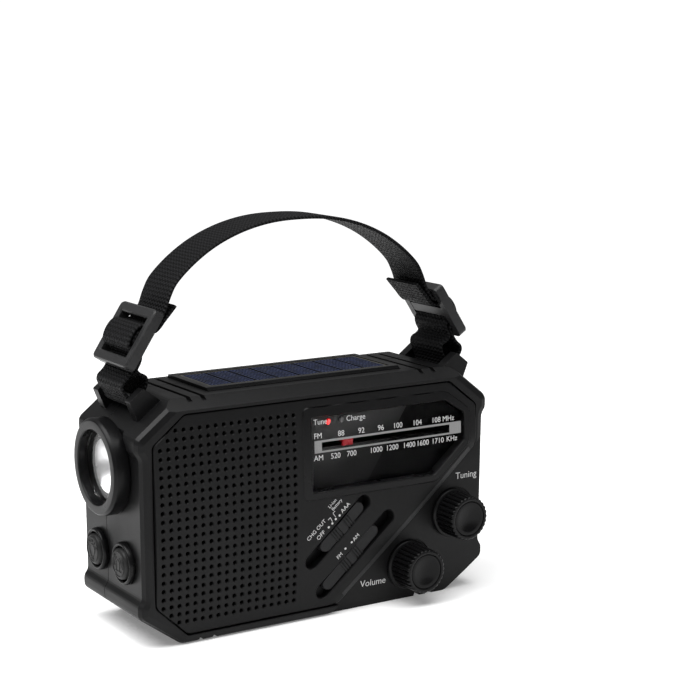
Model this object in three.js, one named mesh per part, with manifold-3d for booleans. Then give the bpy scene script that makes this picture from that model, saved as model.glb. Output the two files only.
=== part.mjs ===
// Crank and solar emergency radio: millimetres, +Z up, the front faces -Y and x runs to the right of it.
// The origin is the middle of the base. Pieces are modelled in place, as they sit in the closed radio.
import * as THREE from "three";
import { mergeVertices } from "three/addons/utils/BufferGeometryUtils.js";
import Module from "manifold-3d";

const wasm = await Module();
wasm.setup();

// ---------------------------------------------------------------- driving dimensions

const HALF_WIDTH = 72; // over the bumpers
const END_X = 70.4; // end faces between the bumpers
const HEIGHT = 85;
const FRONT_Y = -23.85; // rim of the front shell
const REAR_Y = 23.85;
const PARTING_Y = 4.5; // where the two shells meet
const GAP = 0.3; // clearance between neighbouring pieces
const FRONT_WALL_Y = FRONT_Y + 3.2; // seat behind the raised front panel
const CAVITY_FRONT_Y = FRONT_Y + 5.2;
const CAVITY_REAR_Y = REAR_Y - 3.2;

const FACE_MIDDLE_Z = 42; // the front face is a shallow arch about this height
const FACE_CROWN = 1.5;
const FACE_HALF_HEIGHT = 33.4;
const KNOB_WELL = 2.0; // the knob corner lies this much deeper than the panel

const PANEL = { left: -66.2, right: 66.2, low: 3.4, high: 80.4 };
const SLOPE = THREE.MathUtils.degToRad(41.4); // direction of the switch slots and of the long bevel
const BEVEL_START = [7.5, 3.6]; // the long bevel leaves the panel's lower edge here
const BEVEL_WIDTH = 3.4;

const SPEAKER = { x: -38, z: 42, radius: 28, magnet: 13 };
const WINDOW_MIDDLE = [27, 61];
const WINDOW = [[-4.7, 47.3], [46.8, 47.1], [60.6, 58.9], [60.6, 68], [52, 73.5], [-4.7, 73.5]];
const BEZEL = [[-8, 45], [47.6, 44.8], [62.6, 57.4], [62.6, 69.2], [52.4, 76.6], [-8, 76.8]];
const TRACK = { left: -0.6, right: 54.1, low: 61.85, high: 64.25 };
const POINTER = { x: 10.9, width: 4.3 };

const KNOBS = { tuning: [57.3, 30.6], volume: [38.3, 13.4] };
const KNOB = { base: 9.2, grip: 8.3, tip: 8.1, ribs: 28, rib: 0.7, shaft: 3 };
const KNOB_TIP_Y = -34;
const DRUM = { radius: 8.4, y0: -12.5, y1: -9.5 };
const CORD = { y0: -11.4, y1: -10.6, width: 0.8 };
const CORD_POSTS = [[61, 60.3], [-3, 60.3]];
const CORD_POST_RADIUS = 2.7;

const SLOT_RADIUS = 2.8;
const SLIDER_RADIUS = 2.45;
const SOURCE = {
  slot: [[-4.8, 21.9], [16.4, 40.6]],
  slider: [[1.1, 26.8], [14.5, 38.6]],
  travel: [-3.9, 1.95],
};
const BAND = {
  slot: [[0.1, 9.9], [26.9, 33.6]],
  slider: [[2.7, 12.2], [21.5, 28.8]],
  travel: [0, 3.3],
};
const SWITCH_STEM = 1.05;

const TORCH = { y: 0.7, z: 60.2, flange: 16.9, barrel: 13.9, bore: 12.9, front: -76.4, back: -64 };
const SCALLOP_RADIUS = 19;
const BUTTONS = {
  torch: 10.4,
  sos: -10.3,
  z: 28.3,
  ring: 7.5,
  barrel: 6.4,
  bore: 5.8,
  cap: 5.45,
  front: -73.6,
};

const SOLAR = { x: 39.5, y0: -13.4, y1: 16.4, seat: 83.4, top: 86 };
const CELL = { x: 36.8, y0: -9.8, y1: 13.4 };

const CHAMFER = { foot: [HALF_WIDTH, 73.4], head: [57, HEIGHT] }; // top corner of the outline, right side
const LUG = {
  middle: 12.1,
  base: 10.5,
  top: 6.6,
  height: 7.3,
  inner: 10.7,
  outer: 14.5,
  bar: 4.2,
  barRadius: 1.4,
};
const WEB = { thickness: 1.2, halfWidth: 10, pitch: 1.6 };
const BUCKLE = {
  x: 63.3,
  z: 104.55,
  half: 11,
  halfWidth: 13,
  thickness: 2.6, // of the middle bar
  rim: 1.2, // how far the frame stands out beyond the bar
  lean: 56.3,
};

const CRANK = {
  x: -29.1,
  z: 64.6,
  disc: 13.6,
  recess: 16.2,
  inner: 24.2,
  outer: 28.2,
  halfWidth: 8.6,
  low: 0.5,
  shaft: 2.6,
};
const GRIP = { halfWidth: 5, low: 6, high: 29, y: 26.9, thickness: 2.3, pin: 0.7 };
const PRESSURE_ANGLE = THREE.MathUtils.degToRad(25);
const GEAR = { module: 1, wheel: 28, pinion: 10, backlash: 0.3 };
const CENTRES = (GEAR.module * (GEAR.wheel + GEAR.pinion)) / 2; // distance between meshing axes
const IDLER_ANGLE = THREE.MathUtils.degToRad(-45);
const GENERATOR_ANGLE = THREE.MathUtils.degToRad(-78);
const meshedWith = ([x, z], angle) => [x + CENTRES * Math.cos(angle), z + CENTRES * Math.sin(angle)];
const IDLER = meshedWith([CRANK.x, CRANK.z], IDLER_ANGLE);
const GENERATOR = meshedWith(IDLER, GENERATOR_ANGLE);
const IDLER_POST = 1.5;

const ANTENNA = { x: -51.5, y: 21, z: 81, radii: [2.5, 1.8, 1.1], bores: [2.1, 1.4], end: 54.5 };
const ANTENNA_TIP = { radius: 2.4, end: 57.2 };
const ANTENNA_SCREW_Z = 63;
const DOOR = { left: 27.5, right: 63.2, low: 16.8, high: 68.2, inner: 21.9, hinge: 28.75 };
const AAA = { radius: 5.2, low: 20.3, high: 64.4, y: 15.4, columns: [34.6, 45.4, 56.2] };
const SCREWS = [[-60, 74.6], [60, 74.6], [-60, 10.8], [60, 10.8]];
const SCREW = { core: 1.1, hole: 1.45, head: 2.3, well: 2.6 };
const LAMPS = { tune: [2.6, 71.3], charge: [8.2, 71.4], radius: 1.1 };

// ---------------------------------------------------------------- solids

// Turns a closed geometry into a solid, with its faces pointing out whichever way its profile ran.
function solid(geometry) {
  const flat = geometry.index ? geometry.toNonIndexed() : geometry;
  const bare = new THREE.BufferGeometry().setAttribute("position", flat.getAttribute("position"));
  const merged = mergeVertices(bare, 1e-4);
  const build = (triVerts) =>
    new wasm.Manifold(
      new wasm.Mesh({ numProp: 3, vertProperties: merged.attributes.position.array, triVerts }),
    );
  const made = build(new Uint32Array(merged.index.array));
  return made.volume() < 0 ? build(new Uint32Array(merged.index.array).reverse()) : made;
}

function geometryOf(body) {
  const { vertProperties, triVerts } = body.getMesh();
  const geometry = new THREE.BufferGeometry();
  geometry.setAttribute("position", new THREE.BufferAttribute(vertProperties, 3));
  geometry.setIndex(new THREE.BufferAttribute(triVerts, 1));
  geometry.computeVertexNormals();
  return geometry;
}

const join = (...bodies) => bodies.reduce((a, b) => a.add(b));
const cut = (body, ...tools) => tools.reduce((a, b) => a.subtract(b), body);
const keep = (body, ...limits) => limits.reduce((a, b) => a.intersect(b), body);

// ---------------------------------------------------------------- basic shapes

function box(x0, x1, y0, y1, z0, z1) {
  const geometry = new THREE.BoxGeometry(x1 - x0, y1 - y0, z1 - z0);
  return solid(geometry.translate((x0 + x1) / 2, (y0 + y1) / 2, (z0 + z1) / 2));
}

// A round bar along one axis, from a to b; r1 makes it a cone.
function bar(axis, centre, a, b, r0, r1 = r0, sides = 20) {
  const geometry = new THREE.CylinderGeometry(r1, r0, b - a, sides).translate(0, (a + b) / 2, 0);
  if (axis === "x") geometry.rotateZ(-Math.PI / 2).translate(0, centre[0], centre[1]);
  if (axis === "y") geometry.translate(centre[0], 0, centre[1]);
  if (axis === "z") geometry.rotateX(Math.PI / 2).translate(centre[0], centre[1], 0);
  return solid(geometry);
}

// A turned ring or cup about the X axis through (y, z); the profile is a loop of [x, radius].
function turnedAlongX(profile, y, z, sides = 28) {
  const points = [...profile, profile[0]].map(([x, r]) => new THREE.Vector2(r, x));
  return solid(new THREE.LatheGeometry(points, sides).rotateZ(-Math.PI / 2).translate(0, y, z));
}

// A turned piece about the Y axis through (x, z); the profile is a loop of [y, radius].
function turnedAlongY(profile, x, z, sides = 28) {
  const points = [...profile, profile[0]].map(([y, r]) => new THREE.Vector2(r, y));
  return solid(new THREE.LatheGeometry(points, sides).translate(x, 0, z));
}

// An outline with each corner eased by a short curve that starts `round` from it.
function outline(points, round = 0) {
  const corners = points.map(([x, z]) => new THREE.Vector2(x, z));
  const shape = new THREE.Shape();
  corners.forEach((corner, i) => {
    const before = corners.at(i - 1);
    const after = corners[(i + 1) % corners.length];
    const reach = Math.min(round, corner.distanceTo(before) / 2.2, corner.distanceTo(after) / 2.2);
    const a = corner.clone().lerp(before, reach / corner.distanceTo(before));
    const b = corner.clone().lerp(after, reach / corner.distanceTo(after));
    i === 0 ? shape.moveTo(a.x, a.y) : shape.lineTo(a.x, a.y);
    if (reach > 0) shape.quadraticCurveTo(corner.x, corner.y, b.x, b.y);
  });
  shape.closePath();
  return shape;
}

const rectangle = (x0, x1, z0, z1, round = 0) => outline([[x0, z0], [x1, z0], [x1, z1], [x0, z1]], round);

// The outline of a slot whose round ends are centred on a and b.
function capsule(a, b, radius) {
  const turn = Math.atan2(b[1] - a[1], b[0] - a[0]);
  const shape = new THREE.Shape();
  shape.absarc(a[0], a[1], radius, turn + Math.PI / 2, turn + 1.5 * Math.PI, false);
  shape.absarc(b[0], b[1], radius, turn - Math.PI / 2, turn + Math.PI / 2, false);
  shape.closePath();
  return shape;
}

// Extrudes an x-z outline along Y from y0 to y1, with an optional chamfer on both ends.
function alongY(shape, y0, y1, chamfer = {}) {
  const { width = 0, depth = 0, steps = 1 } = chamfer;
  const geometry = new THREE.ExtrudeGeometry(shape, {
    depth: y1 - y0 - 2 * depth,
    bevelEnabled: width > 0,
    bevelSize: width,
    bevelOffset: -width,
    bevelThickness: depth,
    bevelSegments: steps,
    curveSegments: 3,
  });
  return solid(geometry.translate(0, 0, depth).rotateX(Math.PI / 2).translate(0, y1, 0));
}

// Extrudes a y-z outline along X from x0 to x1.
function alongX(shape, x0, x1) {
  const settings = { depth: x1 - x0, bevelEnabled: false, curveSegments: 6 };
  const geometry = new THREE.ExtrudeGeometry(shape, settings);
  const turn = new THREE.Matrix4().makeBasis(
    new THREE.Vector3(0, 1, 0),
    new THREE.Vector3(0, 0, 1),
    new THREE.Vector3(1, 0, 0),
  );
  return solid(geometry.applyMatrix4(turn).translate(x0, 0, 0));
}

// ---------------------------------------------------------------- the arched front face

function faceY(z) {
  return FRONT_Y - FACE_CROWN * (1 - ((z - FACE_MIDDLE_Z) / FACE_HALF_HEIGHT) ** 2);
}

// Everything in front of the arched face moved back by `depth`.
function inFrontOfFace(depth) {
  const steps = 12;
  const points = [];
  for (let i = 0; i <= steps; i++) {
    const z = -2 + (i * (HEIGHT + 4)) / steps;
    points.push([faceY(z) + depth, z]);
  }
  return alongX(outline([...points, [-40, HEIGHT + 2], [-40, -2]]), -80, 80);
}

// A point `along` the slope and `across` it (up and to the left) from the start of the long bevel.
function onSlope(along, across) {
  const [x, z] = BEVEL_START;
  return [
    x + along * Math.cos(SLOPE) - across * Math.sin(SLOPE),
    z + along * Math.sin(SLOPE) + across * Math.cos(SLOPE),
  ];
}

// ---------------------------------------------------------------- shells

function bodyOutline() {
  const lower = [[56, 0], [HALF_WIDTH, 11.6], [HALF_WIDTH, 15.8], [END_X, 17.8]];
  const upper = [[END_X, 66.6], [HALF_WIDTH, 68.6], CHAMFER.foot, CHAMFER.head];
  const right = [...lower, ...upper];
  const left = right.map(([x, z]) => [-x, z]).reverse();
  return outline([...right, ...left], 1.6);
}

function cavity() {
  const right = [[55, 2.4], [68, 12.6], [68, 71.8], [55.5, 82]];
  const left = right.map(([x, z]) => [-x, z]).reverse();
  const hollow = alongY(outline([...right, ...left]), CAVITY_FRONT_Y, CAVITY_REAR_Y);
  const antennaWall = box(-80, 80, 15.9, 30, 75.9, 90);
  const swivelWall = join(bar("z", [ANTENNA.x, ANTENNA.y], 56, 90, 5.3), box(-56.6, -46.4, 16, 30, 56, 90));
  const fingerWall = box(12, 39, 17.6, 30, 70, 90);
  const crankWall = bar("y", [CRANK.x, CRANK.z], 19, 30, 18.2);
  return cut(hollow, antennaWall, swivelWall, fingerWall, crankWall);
}

// Tabs that carry the strap bars, one pair on each top corner: side is -1 or 1, end is -1 at the front.
function lugPoint(side, along, out) {
  const [x0, z0] = CHAMFER.foot;
  const [x1, z1] = CHAMFER.head;
  const length = Math.hypot(x1 - x0, z1 - z0);
  const dx = (x1 - x0) / length;
  const dz = (z1 - z0) / length;
  return [side * (x0 + dx * along + dz * out), z0 + dz * along - dx * out];
}

function lug(side, end) {
  const [half, tip] = [LUG.base / 2, LUG.top / 2];
  const corners = [
    [LUG.middle - half, -1.5],
    [LUG.middle + half, -1.5],
    [LUG.middle + half, 0.4],
    [LUG.middle + tip, LUG.height],
    [LUG.middle - tip, LUG.height],
    [LUG.middle - half, 0.4],
  ].map(([along, out]) => lugPoint(side, along, out));
  const [y0, y1] = end < 0 ? [-LUG.outer, -LUG.inner] : [LUG.inner, LUG.outer];
  const pin = lugPoint(side, LUG.middle, LUG.bar);
  const shape = outline(side < 0 ? corners : corners.reverse(), 0.5);
  const blind = end < 0 ? [y0 + 1.5, y1 + 1] : [y0 - 1, y1 - 1.5];
  const pinHole = LUG.barRadius + GAP + 0.05;
  return cut(alongY(shape, y0, y1), bar("y", pin, ...blind, pinHole, pinHole, 12));
}

// Flat-bottomed V grooves across the base leave the feet standing.
function footGrooves() {
  const grooves = [];
  for (const side of [-1, 1]) {
    for (const x of [43.2, 48.6]) {
      const shape = outline([[-1.6, -1], [1.6, -1], [0.9, 1.5], [-0.9, 1.5]]);
      grooves.push(alongY(shape, -30, 30).translate([side * x, 0, 0]));
    }
  }
  return grooves;
}

// Two narrow grooves on each side of the solar panel run from front to back.
function topGrooves() {
  const grooves = [];
  for (const side of [-1, 1]) {
    for (const x of [44.6, 50]) {
      grooves.push(box(side * x - 0.8, side * x + 0.8, -21.4, 15, HEIGHT - 1.3, HEIGHT + 5));
    }
  }
  return grooves;
}

function antennaTrough() {
  return join(
    box(-56, 90, 17.9, 40, 78, 90),
    box(ANTENNA.x - 3.9, ANTENNA.x + 3.9, 17.6, 40, 58, 90),
    bar("z", [ANTENNA.x, ANTENNA.y], 77.9, 90, 4.4),
    box(ANTENNA.x - 4.6, ANTENNA.x + 4.6, ANTENNA.y, 40, 77.9, 90),
    bar("y", [25.5, 84.4], 19.6, 40, 12.4, 12.4, 28),
    bar("y", [ANTENNA.x, ANTENNA_SCREW_Z], 16.3, 40, 1.5, 1.5, 8),
  );
}

function crankSeat() {
  const channel = [[-12, 53], [-12, 6], [-9, -5], [9, -5], [12, 6], [12, 53]];
  const floor = REAR_Y - 1.6;
  return join(
    bar("y", [CRANK.x, CRANK.z], floor, 40, CRANK.recess, CRANK.recess, 36),
    alongY(outline(channel.map(([x, z]) => [x + CRANK.x, z])), floor, 40),
    bar("y", [CRANK.x, CRANK.z], 10, 40, CRANK.shaft + 0.4),
  );
}

function batteryPocket() {
  return box(DOOR.left + 1.4, DOOR.right - 1.4, 9, 40, 18.6, 66.4);
}

function batteryWalls() {
  return keep(box(DOOR.left - 0.2, DOOR.right + 0.2, 7.6, 21.6, 17, 68), box(0, 68.5, 0, 30, 2, 80));
}

function doorSeat() {
  const { left, right, low, high, inner } = DOOR;
  return join(
    alongY(rectangle(left - 0.4, right + GAP, low - GAP, high + GAP, 2), inner - 0.35, 40),
    alongY(rectangle(right - 1, 70, 34.9, 49.7, 1), inner - 0.35, 40),
  );
}

function screwWells() {
  const { well, hole } = SCREW;
  return SCREWS.map((at) => join(bar("y", at, 20.2, 40, well, well, 16), bar("y", at, 0, 40, hole, hole, 8)));
}

function rearPanelGroove() {
  const right = [[57, 3.6], [68, 12], [68, 70.5], [60.5, 77.4]];
  const ring = (grow) => {
    const half = right.map(([x, z]) => [x + grow, z + Math.sign(z - 40) * grow]);
    return outline([...half, ...half.map(([x, z]) => [-x, z]).reverse()]);
  };
  return cut(alongY(ring(0.4), REAR_Y - 0.6, 40), alongY(ring(-0.4), REAR_Y - 1, 41));
}

// Both shells in one piece, before they are parted.
function wholeShell() {
  const block = alongY(bodyOutline(), FRONT_Y, REAR_Y, { width: 2.8, depth: 2.2, steps: 2 });
  const lugs = [-1, 1].flatMap((side) => [lug(side, -1), lug(side, 1)]);
  const browProfile = [[FRONT_Y - 1, 81], [-18.2, HEIGHT + 0.05], [-18.2, 90], [-30, 90], [-30, 81]];
  const brow = alongX(outline(browProfile), -90, 90);
  const scallop = bar("x", [TORCH.y, TORCH.z], -90, -END_X, SCALLOP_RADIUS, SCALLOP_RADIUS, 36);
  const shell = cut(block, brow, scallop, ...footGrooves(), ...topGrooves());
  const { x, y0, y1, seat } = SOLAR;
  const solarSeat = box(-x - GAP, x + GAP, y0 - GAP, y1 + GAP, seat, 95);
  const torchRadius = TORCH.barrel + GAP;
  const torchHole = bar("x", [TORCH.y, TORCH.z], -90, TORCH.back + 0.4, torchRadius, torchRadius, 36);
  const buttonRadius = BUTTONS.barrel + GAP;
  const buttonHoles = [BUTTONS.torch, BUTTONS.sos].map((y) =>
    bar("x", [y, BUTTONS.z], -90, -66, buttonRadius, buttonRadius, 24),
  );
  return cut(join(shell, ...lugs), solarSeat, torchHole, ...buttonHoles);
}

function panelOutline(grow = 0) {
  const { left, right, low, high } = PANEL;
  const [x, z] = BEVEL_START;
  const reach = (right - x) / Math.cos(SLOPE);
  const [, zEnd] = onSlope(reach, 0);
  const points = [
    [left - grow, 15 - grow],
    [left + 12 - grow / 2, low - grow],
    [x + grow / 2, z - grow],
    [right + grow, zEnd - grow],
    [right + grow, high - 9.4 + grow / 2],
    [right - 12 + grow / 2, high + grow],
    [left + 12 - grow / 2, high + grow],
    [left - grow, high - 9.6 + grow / 2],
  ];
  return outline(points, 1.2);
}

// The lower right corner of the face, where the knobs stand, lies deeper than the rest.
function knobWell() {
  const corner = outline([onSlope(-60, 0.1), onSlope(130, 0.1), [140, -60], [-80, -60]]);
  return keep(alongY(corner, -40, 0), inFrontOfFace(KNOB_WELL));
}

function pointerSlot() {
  return alongY(rectangle(TRACK.left + 0.6, TRACK.right - 0.6, TRACK.low, TRACK.high), -40, -10);
}

function frontOpenings() {
  const slots = [SOURCE, BAND].map(({ slider, travel }) => {
    const [a, b] = slider;
    const middle = [(a[0] + b[0]) / 2, (a[1] + b[1]) / 2];
    const at = (s) => [middle[0] + s * Math.cos(SLOPE), middle[1] + s * Math.sin(SLOPE)];
    return alongY(capsule(at(travel[0]), at(travel[1]), SWITCH_STEM + GAP), -40, -10);
  });
  const shafts = Object.values(KNOBS).flatMap((at) => [
    bar("y", at, -40, -10, KNOB.shaft + GAP, KNOB.shaft + GAP, 16),
    bar("y", at, -40, knobSeat(at) + GAP, KNOB.base + 0.6, KNOB.base + 0.6, 32),
  ]);
  const speakerRadius = SPEAKER.radius - 2;
  const speaker = bar("y", [SPEAKER.x, SPEAKER.z], -40, -10, speakerRadius, speakerRadius, 28);
  return [...slots, pointerSlot(), ...shafts, speaker];
}

function frontShell(whole) {
  const front = keep(whole, box(-90, 90, -60, PARTING_Y - GAP / 2, -5, 120));
  const seat = alongY(panelOutline(GAP), -40, FRONT_WALL_Y);
  const hollowed = cut(front, cavity(), knobWell(), seat, ...frontOpenings());
  const behindWall = CAVITY_FRONT_Y - 0.85;
  const r = CORD_POST_RADIUS;
  const posts = CORD_POSTS.map((at) => bar("y", at, behindWall, CORD.y1 + 0.6, r, r, 20));
  const bosses = SCREWS.map((at) => screwBoss(at, behindWall, PARTING_Y - GAP / 2));
  return join(hollowed, ...posts, ...bosses);
}

// Case screws thread into these posts behind the corners of the face.
function screwBoss([x, z], y0, y1) {
  const toCorner = [x + Math.sign(x) * 1.2, z > 40 ? z + 3 : z - 2.6];
  const post = join(bar("y", [x, z], y0, y1, 3.4, 3.4, 12), bar("y", toCorner, y0, y1, 2.4, 2.4, 8));
  return cut(post, bar("y", [x, z], -12, 10, SCREW.hole, SCREW.hole, 8));
}

function rearShell(whole) {
  const rear = keep(whole, box(-90, 90, PARTING_Y + GAP / 2, 60, -5, 120));
  const post = bar("y", IDLER, 8.4, CAVITY_REAR_Y + 1, IDLER_POST, IDLER_POST, 16);
  const bosses = SCREWS.map((at) => bar("y", at, PARTING_Y + GAP / 2, 21, 3.9, 3.9, 14));
  const filled = join(cut(rear, cavity()), batteryWalls(), post, ...bosses);
  return cut(
    filled,
    antennaTrough(),
    crankSeat(),
    batteryPocket(),
    doorSeat(),
    rearPanelGroove(),
    alongY(rectangle(-16.2, 25.4, 21.3, 46.5, 3), REAR_Y - 0.5, 40),
    ...screwWells(),
  );
}

// ---------------------------------------------------------------- front face

function frontPanel() {
  const plate = alongY(panelOutline(), -40, FRONT_WALL_Y - GAP);
  const bevel = outline([onSlope(-60, BEVEL_WIDTH), onSlope(130, BEVEL_WIDTH), [140, -60], [-80, -60]]);
  const slant = keep(alongY(bevel, -40, 0), inFrontOfFace(KNOB_WELL / 2));
  const openings = [
    alongY(outline(BEZEL.map(([x, z]) => growFrom(WINDOW_MIDDLE, [x, z], GAP)), 2.6), -40, 0),
    alongY(capsule(...SOURCE.slot, SLOT_RADIUS), -40, 0),
    alongY(capsule(...BAND.slot, SLOT_RADIUS), -40, 0),
  ];
  return cut(plate, inFrontOfFace(0), slant, ...openings);
}

// Moves a corner away from the middle by `grow` along each axis.
function growFrom([cx, cz], [x, z], grow) {
  return [x + Math.sign(x - cx) * grow, z + Math.sign(z - cz) * grow];
}

function dialBezel() {
  const ring = alongY(outline(BEZEL, 2.4), -40, FRONT_WALL_Y - GAP);
  const hole = alongY(outline(WINDOW.map((p) => growFrom(WINDOW_MIDDLE, p, GAP)), 0.8), -40, 0);
  return cut(ring, hole, inFrontOfFace(-0.35));
}

function dialWindow() {
  return cut(alongY(outline(WINDOW, 0.6), -40, -23.5), inFrontOfFace(0.35));
}

function dialScale() {
  const plate = alongY(outline(WINDOW, 0.6), -21.95, FRONT_WALL_Y - GAP);
  return cut(plate, pointerSlot());
}

function dialPointer() {
  const { x, width } = POINTER;
  const flag = box(x - width / 2, x + width / 2, -23.1, -22.3, TRACK.low + 0.1, TRACK.high - 0.1);
  const stem = box(x - 1, x + 1, -22.4, -11.8, TRACK.low + 0.4, TRACK.high - 0.4);
  return join(flag, stem);
}

function signalLamp(at) {
  return bar("y", at, -23.2, -22.25, LAMPS.radius, LAMPS.radius, 12);
}

function speakerFrame() {
  const { x, z, radius, magnet } = SPEAKER;
  const outside = [[-18.3, radius], [-15.5, radius], [-15.5, 24.5], [-9, 15], [-9, magnet], [-3.4, magnet]];
  const inside = [[-3.4, 4], [-9.6, 4], [-9.6, 13.2], [-16.1, 22.8], [-16.1, 25], [-18.3, 25]];
  return turnedAlongY([...outside, ...inside], x, z, 28);
}

function speakerCone() {
  const cone = [[-17, 0], [-17, 5], [-18.2, 8], [-18.2, 24.6], [-16.9, 24.6], [-10.5, 7], [-10.5, 0]];
  return turnedAlongY(cone, SPEAKER.x, SPEAKER.z, 28);
}

// ---------------------------------------------------------------- knobs, sliders and what they turn

function knurledOutline([x, z], radius) {
  const points = [];
  for (let i = 0; i < KNOB.ribs * 2; i++) {
    const turn = ((i + 0.5) / (KNOB.ribs * 2)) * 2 * Math.PI;
    const r = i % 2 ? radius : radius - KNOB.rib;
    points.push([x + r * Math.cos(turn), z + r * Math.sin(turn)]);
  }
  return outline(points);
}

const knobSeat = ([, z]) => faceY(z) + KNOB_WELL;

function knob(at, shaftEnd) {
  const seatY = knobSeat(at);
  const tipY = KNOB_TIP_Y;
  const { base, grip, tip } = KNOB;
  const skirt = [[seatY, 0], [seatY, base], [seatY - 1.2, base - 0.3], [seatY - 1.2, 0]];
  const collar = [[tipY, 0], [tipY, tip - 0.5], [tipY + 0.9, tip], [tipY + 1.2, 0]];
  const dish = [[tipY - 1, 0], [tipY - 1, 6.4], [tipY + 0.3, 6.4], [tipY + 1, 3.6], [tipY + 1.2, 0]];
  const body = join(
    turnedAlongY(skirt, ...at, 24),
    alongY(knurledOutline(at, grip), tipY + 0.8, seatY - 1),
    turnedAlongY(collar, ...at, 24),
    bar("y", at, seatY - 0.5, shaftEnd, KNOB.shaft),
  );
  return cut(body, turnedAlongY(dish, ...at, 24));
}

function tuningDrum() {
  const { radius, y0, y1 } = DRUM;
  const [x, z] = KNOBS.tuning;
  const bore = KNOB.shaft + GAP;
  const [rim, groove] = [radius + 0.8, radius - 0.4];
  const rear = [[y1, bore], [y1, rim], [y1 - 0.6, rim], [y1 - 0.9, groove]];
  const front = [[y0 + 0.9, groove], [y0 + 0.6, rim], [y0, rim], [y0, bore]];
  return turnedAlongY([...rear, ...front], x, z, 24);
}

// A cord loop round three wheels, given counter-clockwise: straight runs joined by arcs.
function beltShape(wheels, offset) {
  const shape = new THREE.Shape();
  const rims = wheels.map(([x, z, r]) => ({ x, z, r: r + offset }));
  const leave = rims.map((a, i) => {
    const b = rims[(i + 1) % rims.length];
    const run = Math.atan2(b.z - a.z, b.x - a.x);
    return run - Math.PI / 2 + Math.asin((a.r - b.r) / Math.hypot(b.x - a.x, b.z - a.z));
  });
  rims.forEach(({ x, z, r }, i) => {
    const from = leave.at(i - 1);
    let to = leave[i];
    while (to < from) to += 2 * Math.PI;
    shape.absarc(x, z, r, from, to, false);
  });
  shape.closePath();
  return shape;
}

function dialCord() {
  const wheels = [[...KNOBS.tuning, DRUM.radius], ...CORD_POSTS.map((at) => [...at, CORD_POST_RADIUS])];
  const outer = alongY(beltShape(wheels, GAP + CORD.width), CORD.y0, CORD.y1);
  return cut(outer, alongY(beltShape(wheels, GAP), CORD.y0 - 1, CORD.y1 + 1));
}

function slider({ slider: [a, b] }) {
  const middle = [(a[0] + b[0]) / 2, (a[1] + b[1]) / 2];
  const top = Math.max(...[a, middle, b].map(([, z]) => faceY(z))) + 0.5;
  const plate = alongY(capsule(a, b, SLIDER_RADIUS), top, FRONT_WALL_Y - 0.4);
  return join(plate, bar("y", middle, -21.5, -16.4, SWITCH_STEM, SWITCH_STEM, 12));
}

function slideSwitch({ slider: [a, b] }) {
  const body = box(-10, 10, -16, -9, -4, 4).rotate([0, -THREE.MathUtils.radToDeg(SLOPE), 0]);
  return body.translate([(a[0] + b[0]) / 2, 0, (a[1] + b[1]) / 2]);
}

// ---------------------------------------------------------------- left end: torch and buttons

function torchBezel() {
  const { flange, barrel, bore, front, back } = TORCH;
  const profile = [
    [front + 1.2, flange],
    [-END_X - GAP, flange],
    [-END_X - GAP, barrel],
    [back, barrel],
    [back, bore],
    [front + 0.9, bore],
    [front, bore + 0.9],
    [front, flange - 1.2],
  ];
  return turnedAlongX(profile, TORCH.y, TORCH.z, 36);
}

function torchReflector() {
  const mirror = [[-72.2, 12.5], [-66, 10.6], [-62.5, 7.5], [-61, 4.6], [-61, 3]];
  const outside = [[-60, 3], [-60, 5.4], [-61.8, 8.5], [-65.4, 11.5], [-72.2, 12.6]];
  return turnedAlongX([...mirror, ...outside], TORCH.y, TORCH.z, 28);
}

function torchLens() {
  return turnedAlongX([[-74.1, 0], [-73.4, 12.5], [-72.7, 12.5], [-72.9, 0]], TORCH.y, TORCH.z, 28);
}

function torchLed() {
  const dome = [[-63.6, 0], [-63.2, 1.6], [-62, 2.5], [-58.6, 2.5], [-58.6, 0]];
  return turnedAlongX(dome, TORCH.y, TORCH.z, 16);
}

function buttonRing(y) {
  const { ring, barrel, bore, z } = BUTTONS;
  const seat = -END_X - GAP;
  const lip = [[-72.6, bore + 0.6], [-72.6, ring - 0.7], [-71.8, ring], [seat, ring]];
  const sleeve = [[seat, barrel], [-65.6, barrel], [-65.6, bore], [-72, bore]];
  return turnedAlongX([...lip, ...sleeve], y, z, 24);
}

function buttonCap(y) {
  const { cap, front, z } = BUTTONS;
  const profile = [[front, 0], [front, cap - 0.6], [front + 0.6, cap], [-65, cap], [-65, 0]];
  return turnedAlongX(profile, y, z, 24);
}

// ---------------------------------------------------------------- top: solar panel, strap

function solarFrame() {
  const { x, y0, y1, seat, top } = SOLAR;
  const outer = box(-x, x, y0, y1, seat + GAP, top);
  const [half, low, high] = [CELL.x + GAP, CELL.y0 - GAP, CELL.y1 + GAP];
  const slope = outline([[y0 - 1, top - 1.4], [y0 + 1.6, top + 0.1], [y0 - 1, top + 0.1]]);
  return cut(outer, box(-half, half, low, high, top - 1.2, top + 1), alongX(slope, -90, 90));
}

function solarPanel() {
  return box(-CELL.x, CELL.x, CELL.y0, CELL.y1, SOLAR.top - 0.9, SOLAR.top - 0.2);
}

function strapBar(side) {
  const reach = LUG.inner + 2.2;
  return bar("y", lugPoint(side, LUG.middle, LUG.bar), -reach, reach, LUG.barRadius, LUG.barRadius, 16);
}

// A point of the left buckle: along its length from the middle, and out from its outer face.
function buckleVector(along, out) {
  const lean = THREE.MathUtils.degToRad(BUCKLE.lean);
  return new THREE.Vector2(
    -BUCKLE.x + along * Math.cos(lean) - out * Math.sin(lean),
    BUCKLE.z + along * Math.sin(lean) + out * Math.cos(lean),
  );
}

function onBuckle(along, out) {
  return buckleVector(along, out).toArray();
}

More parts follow.
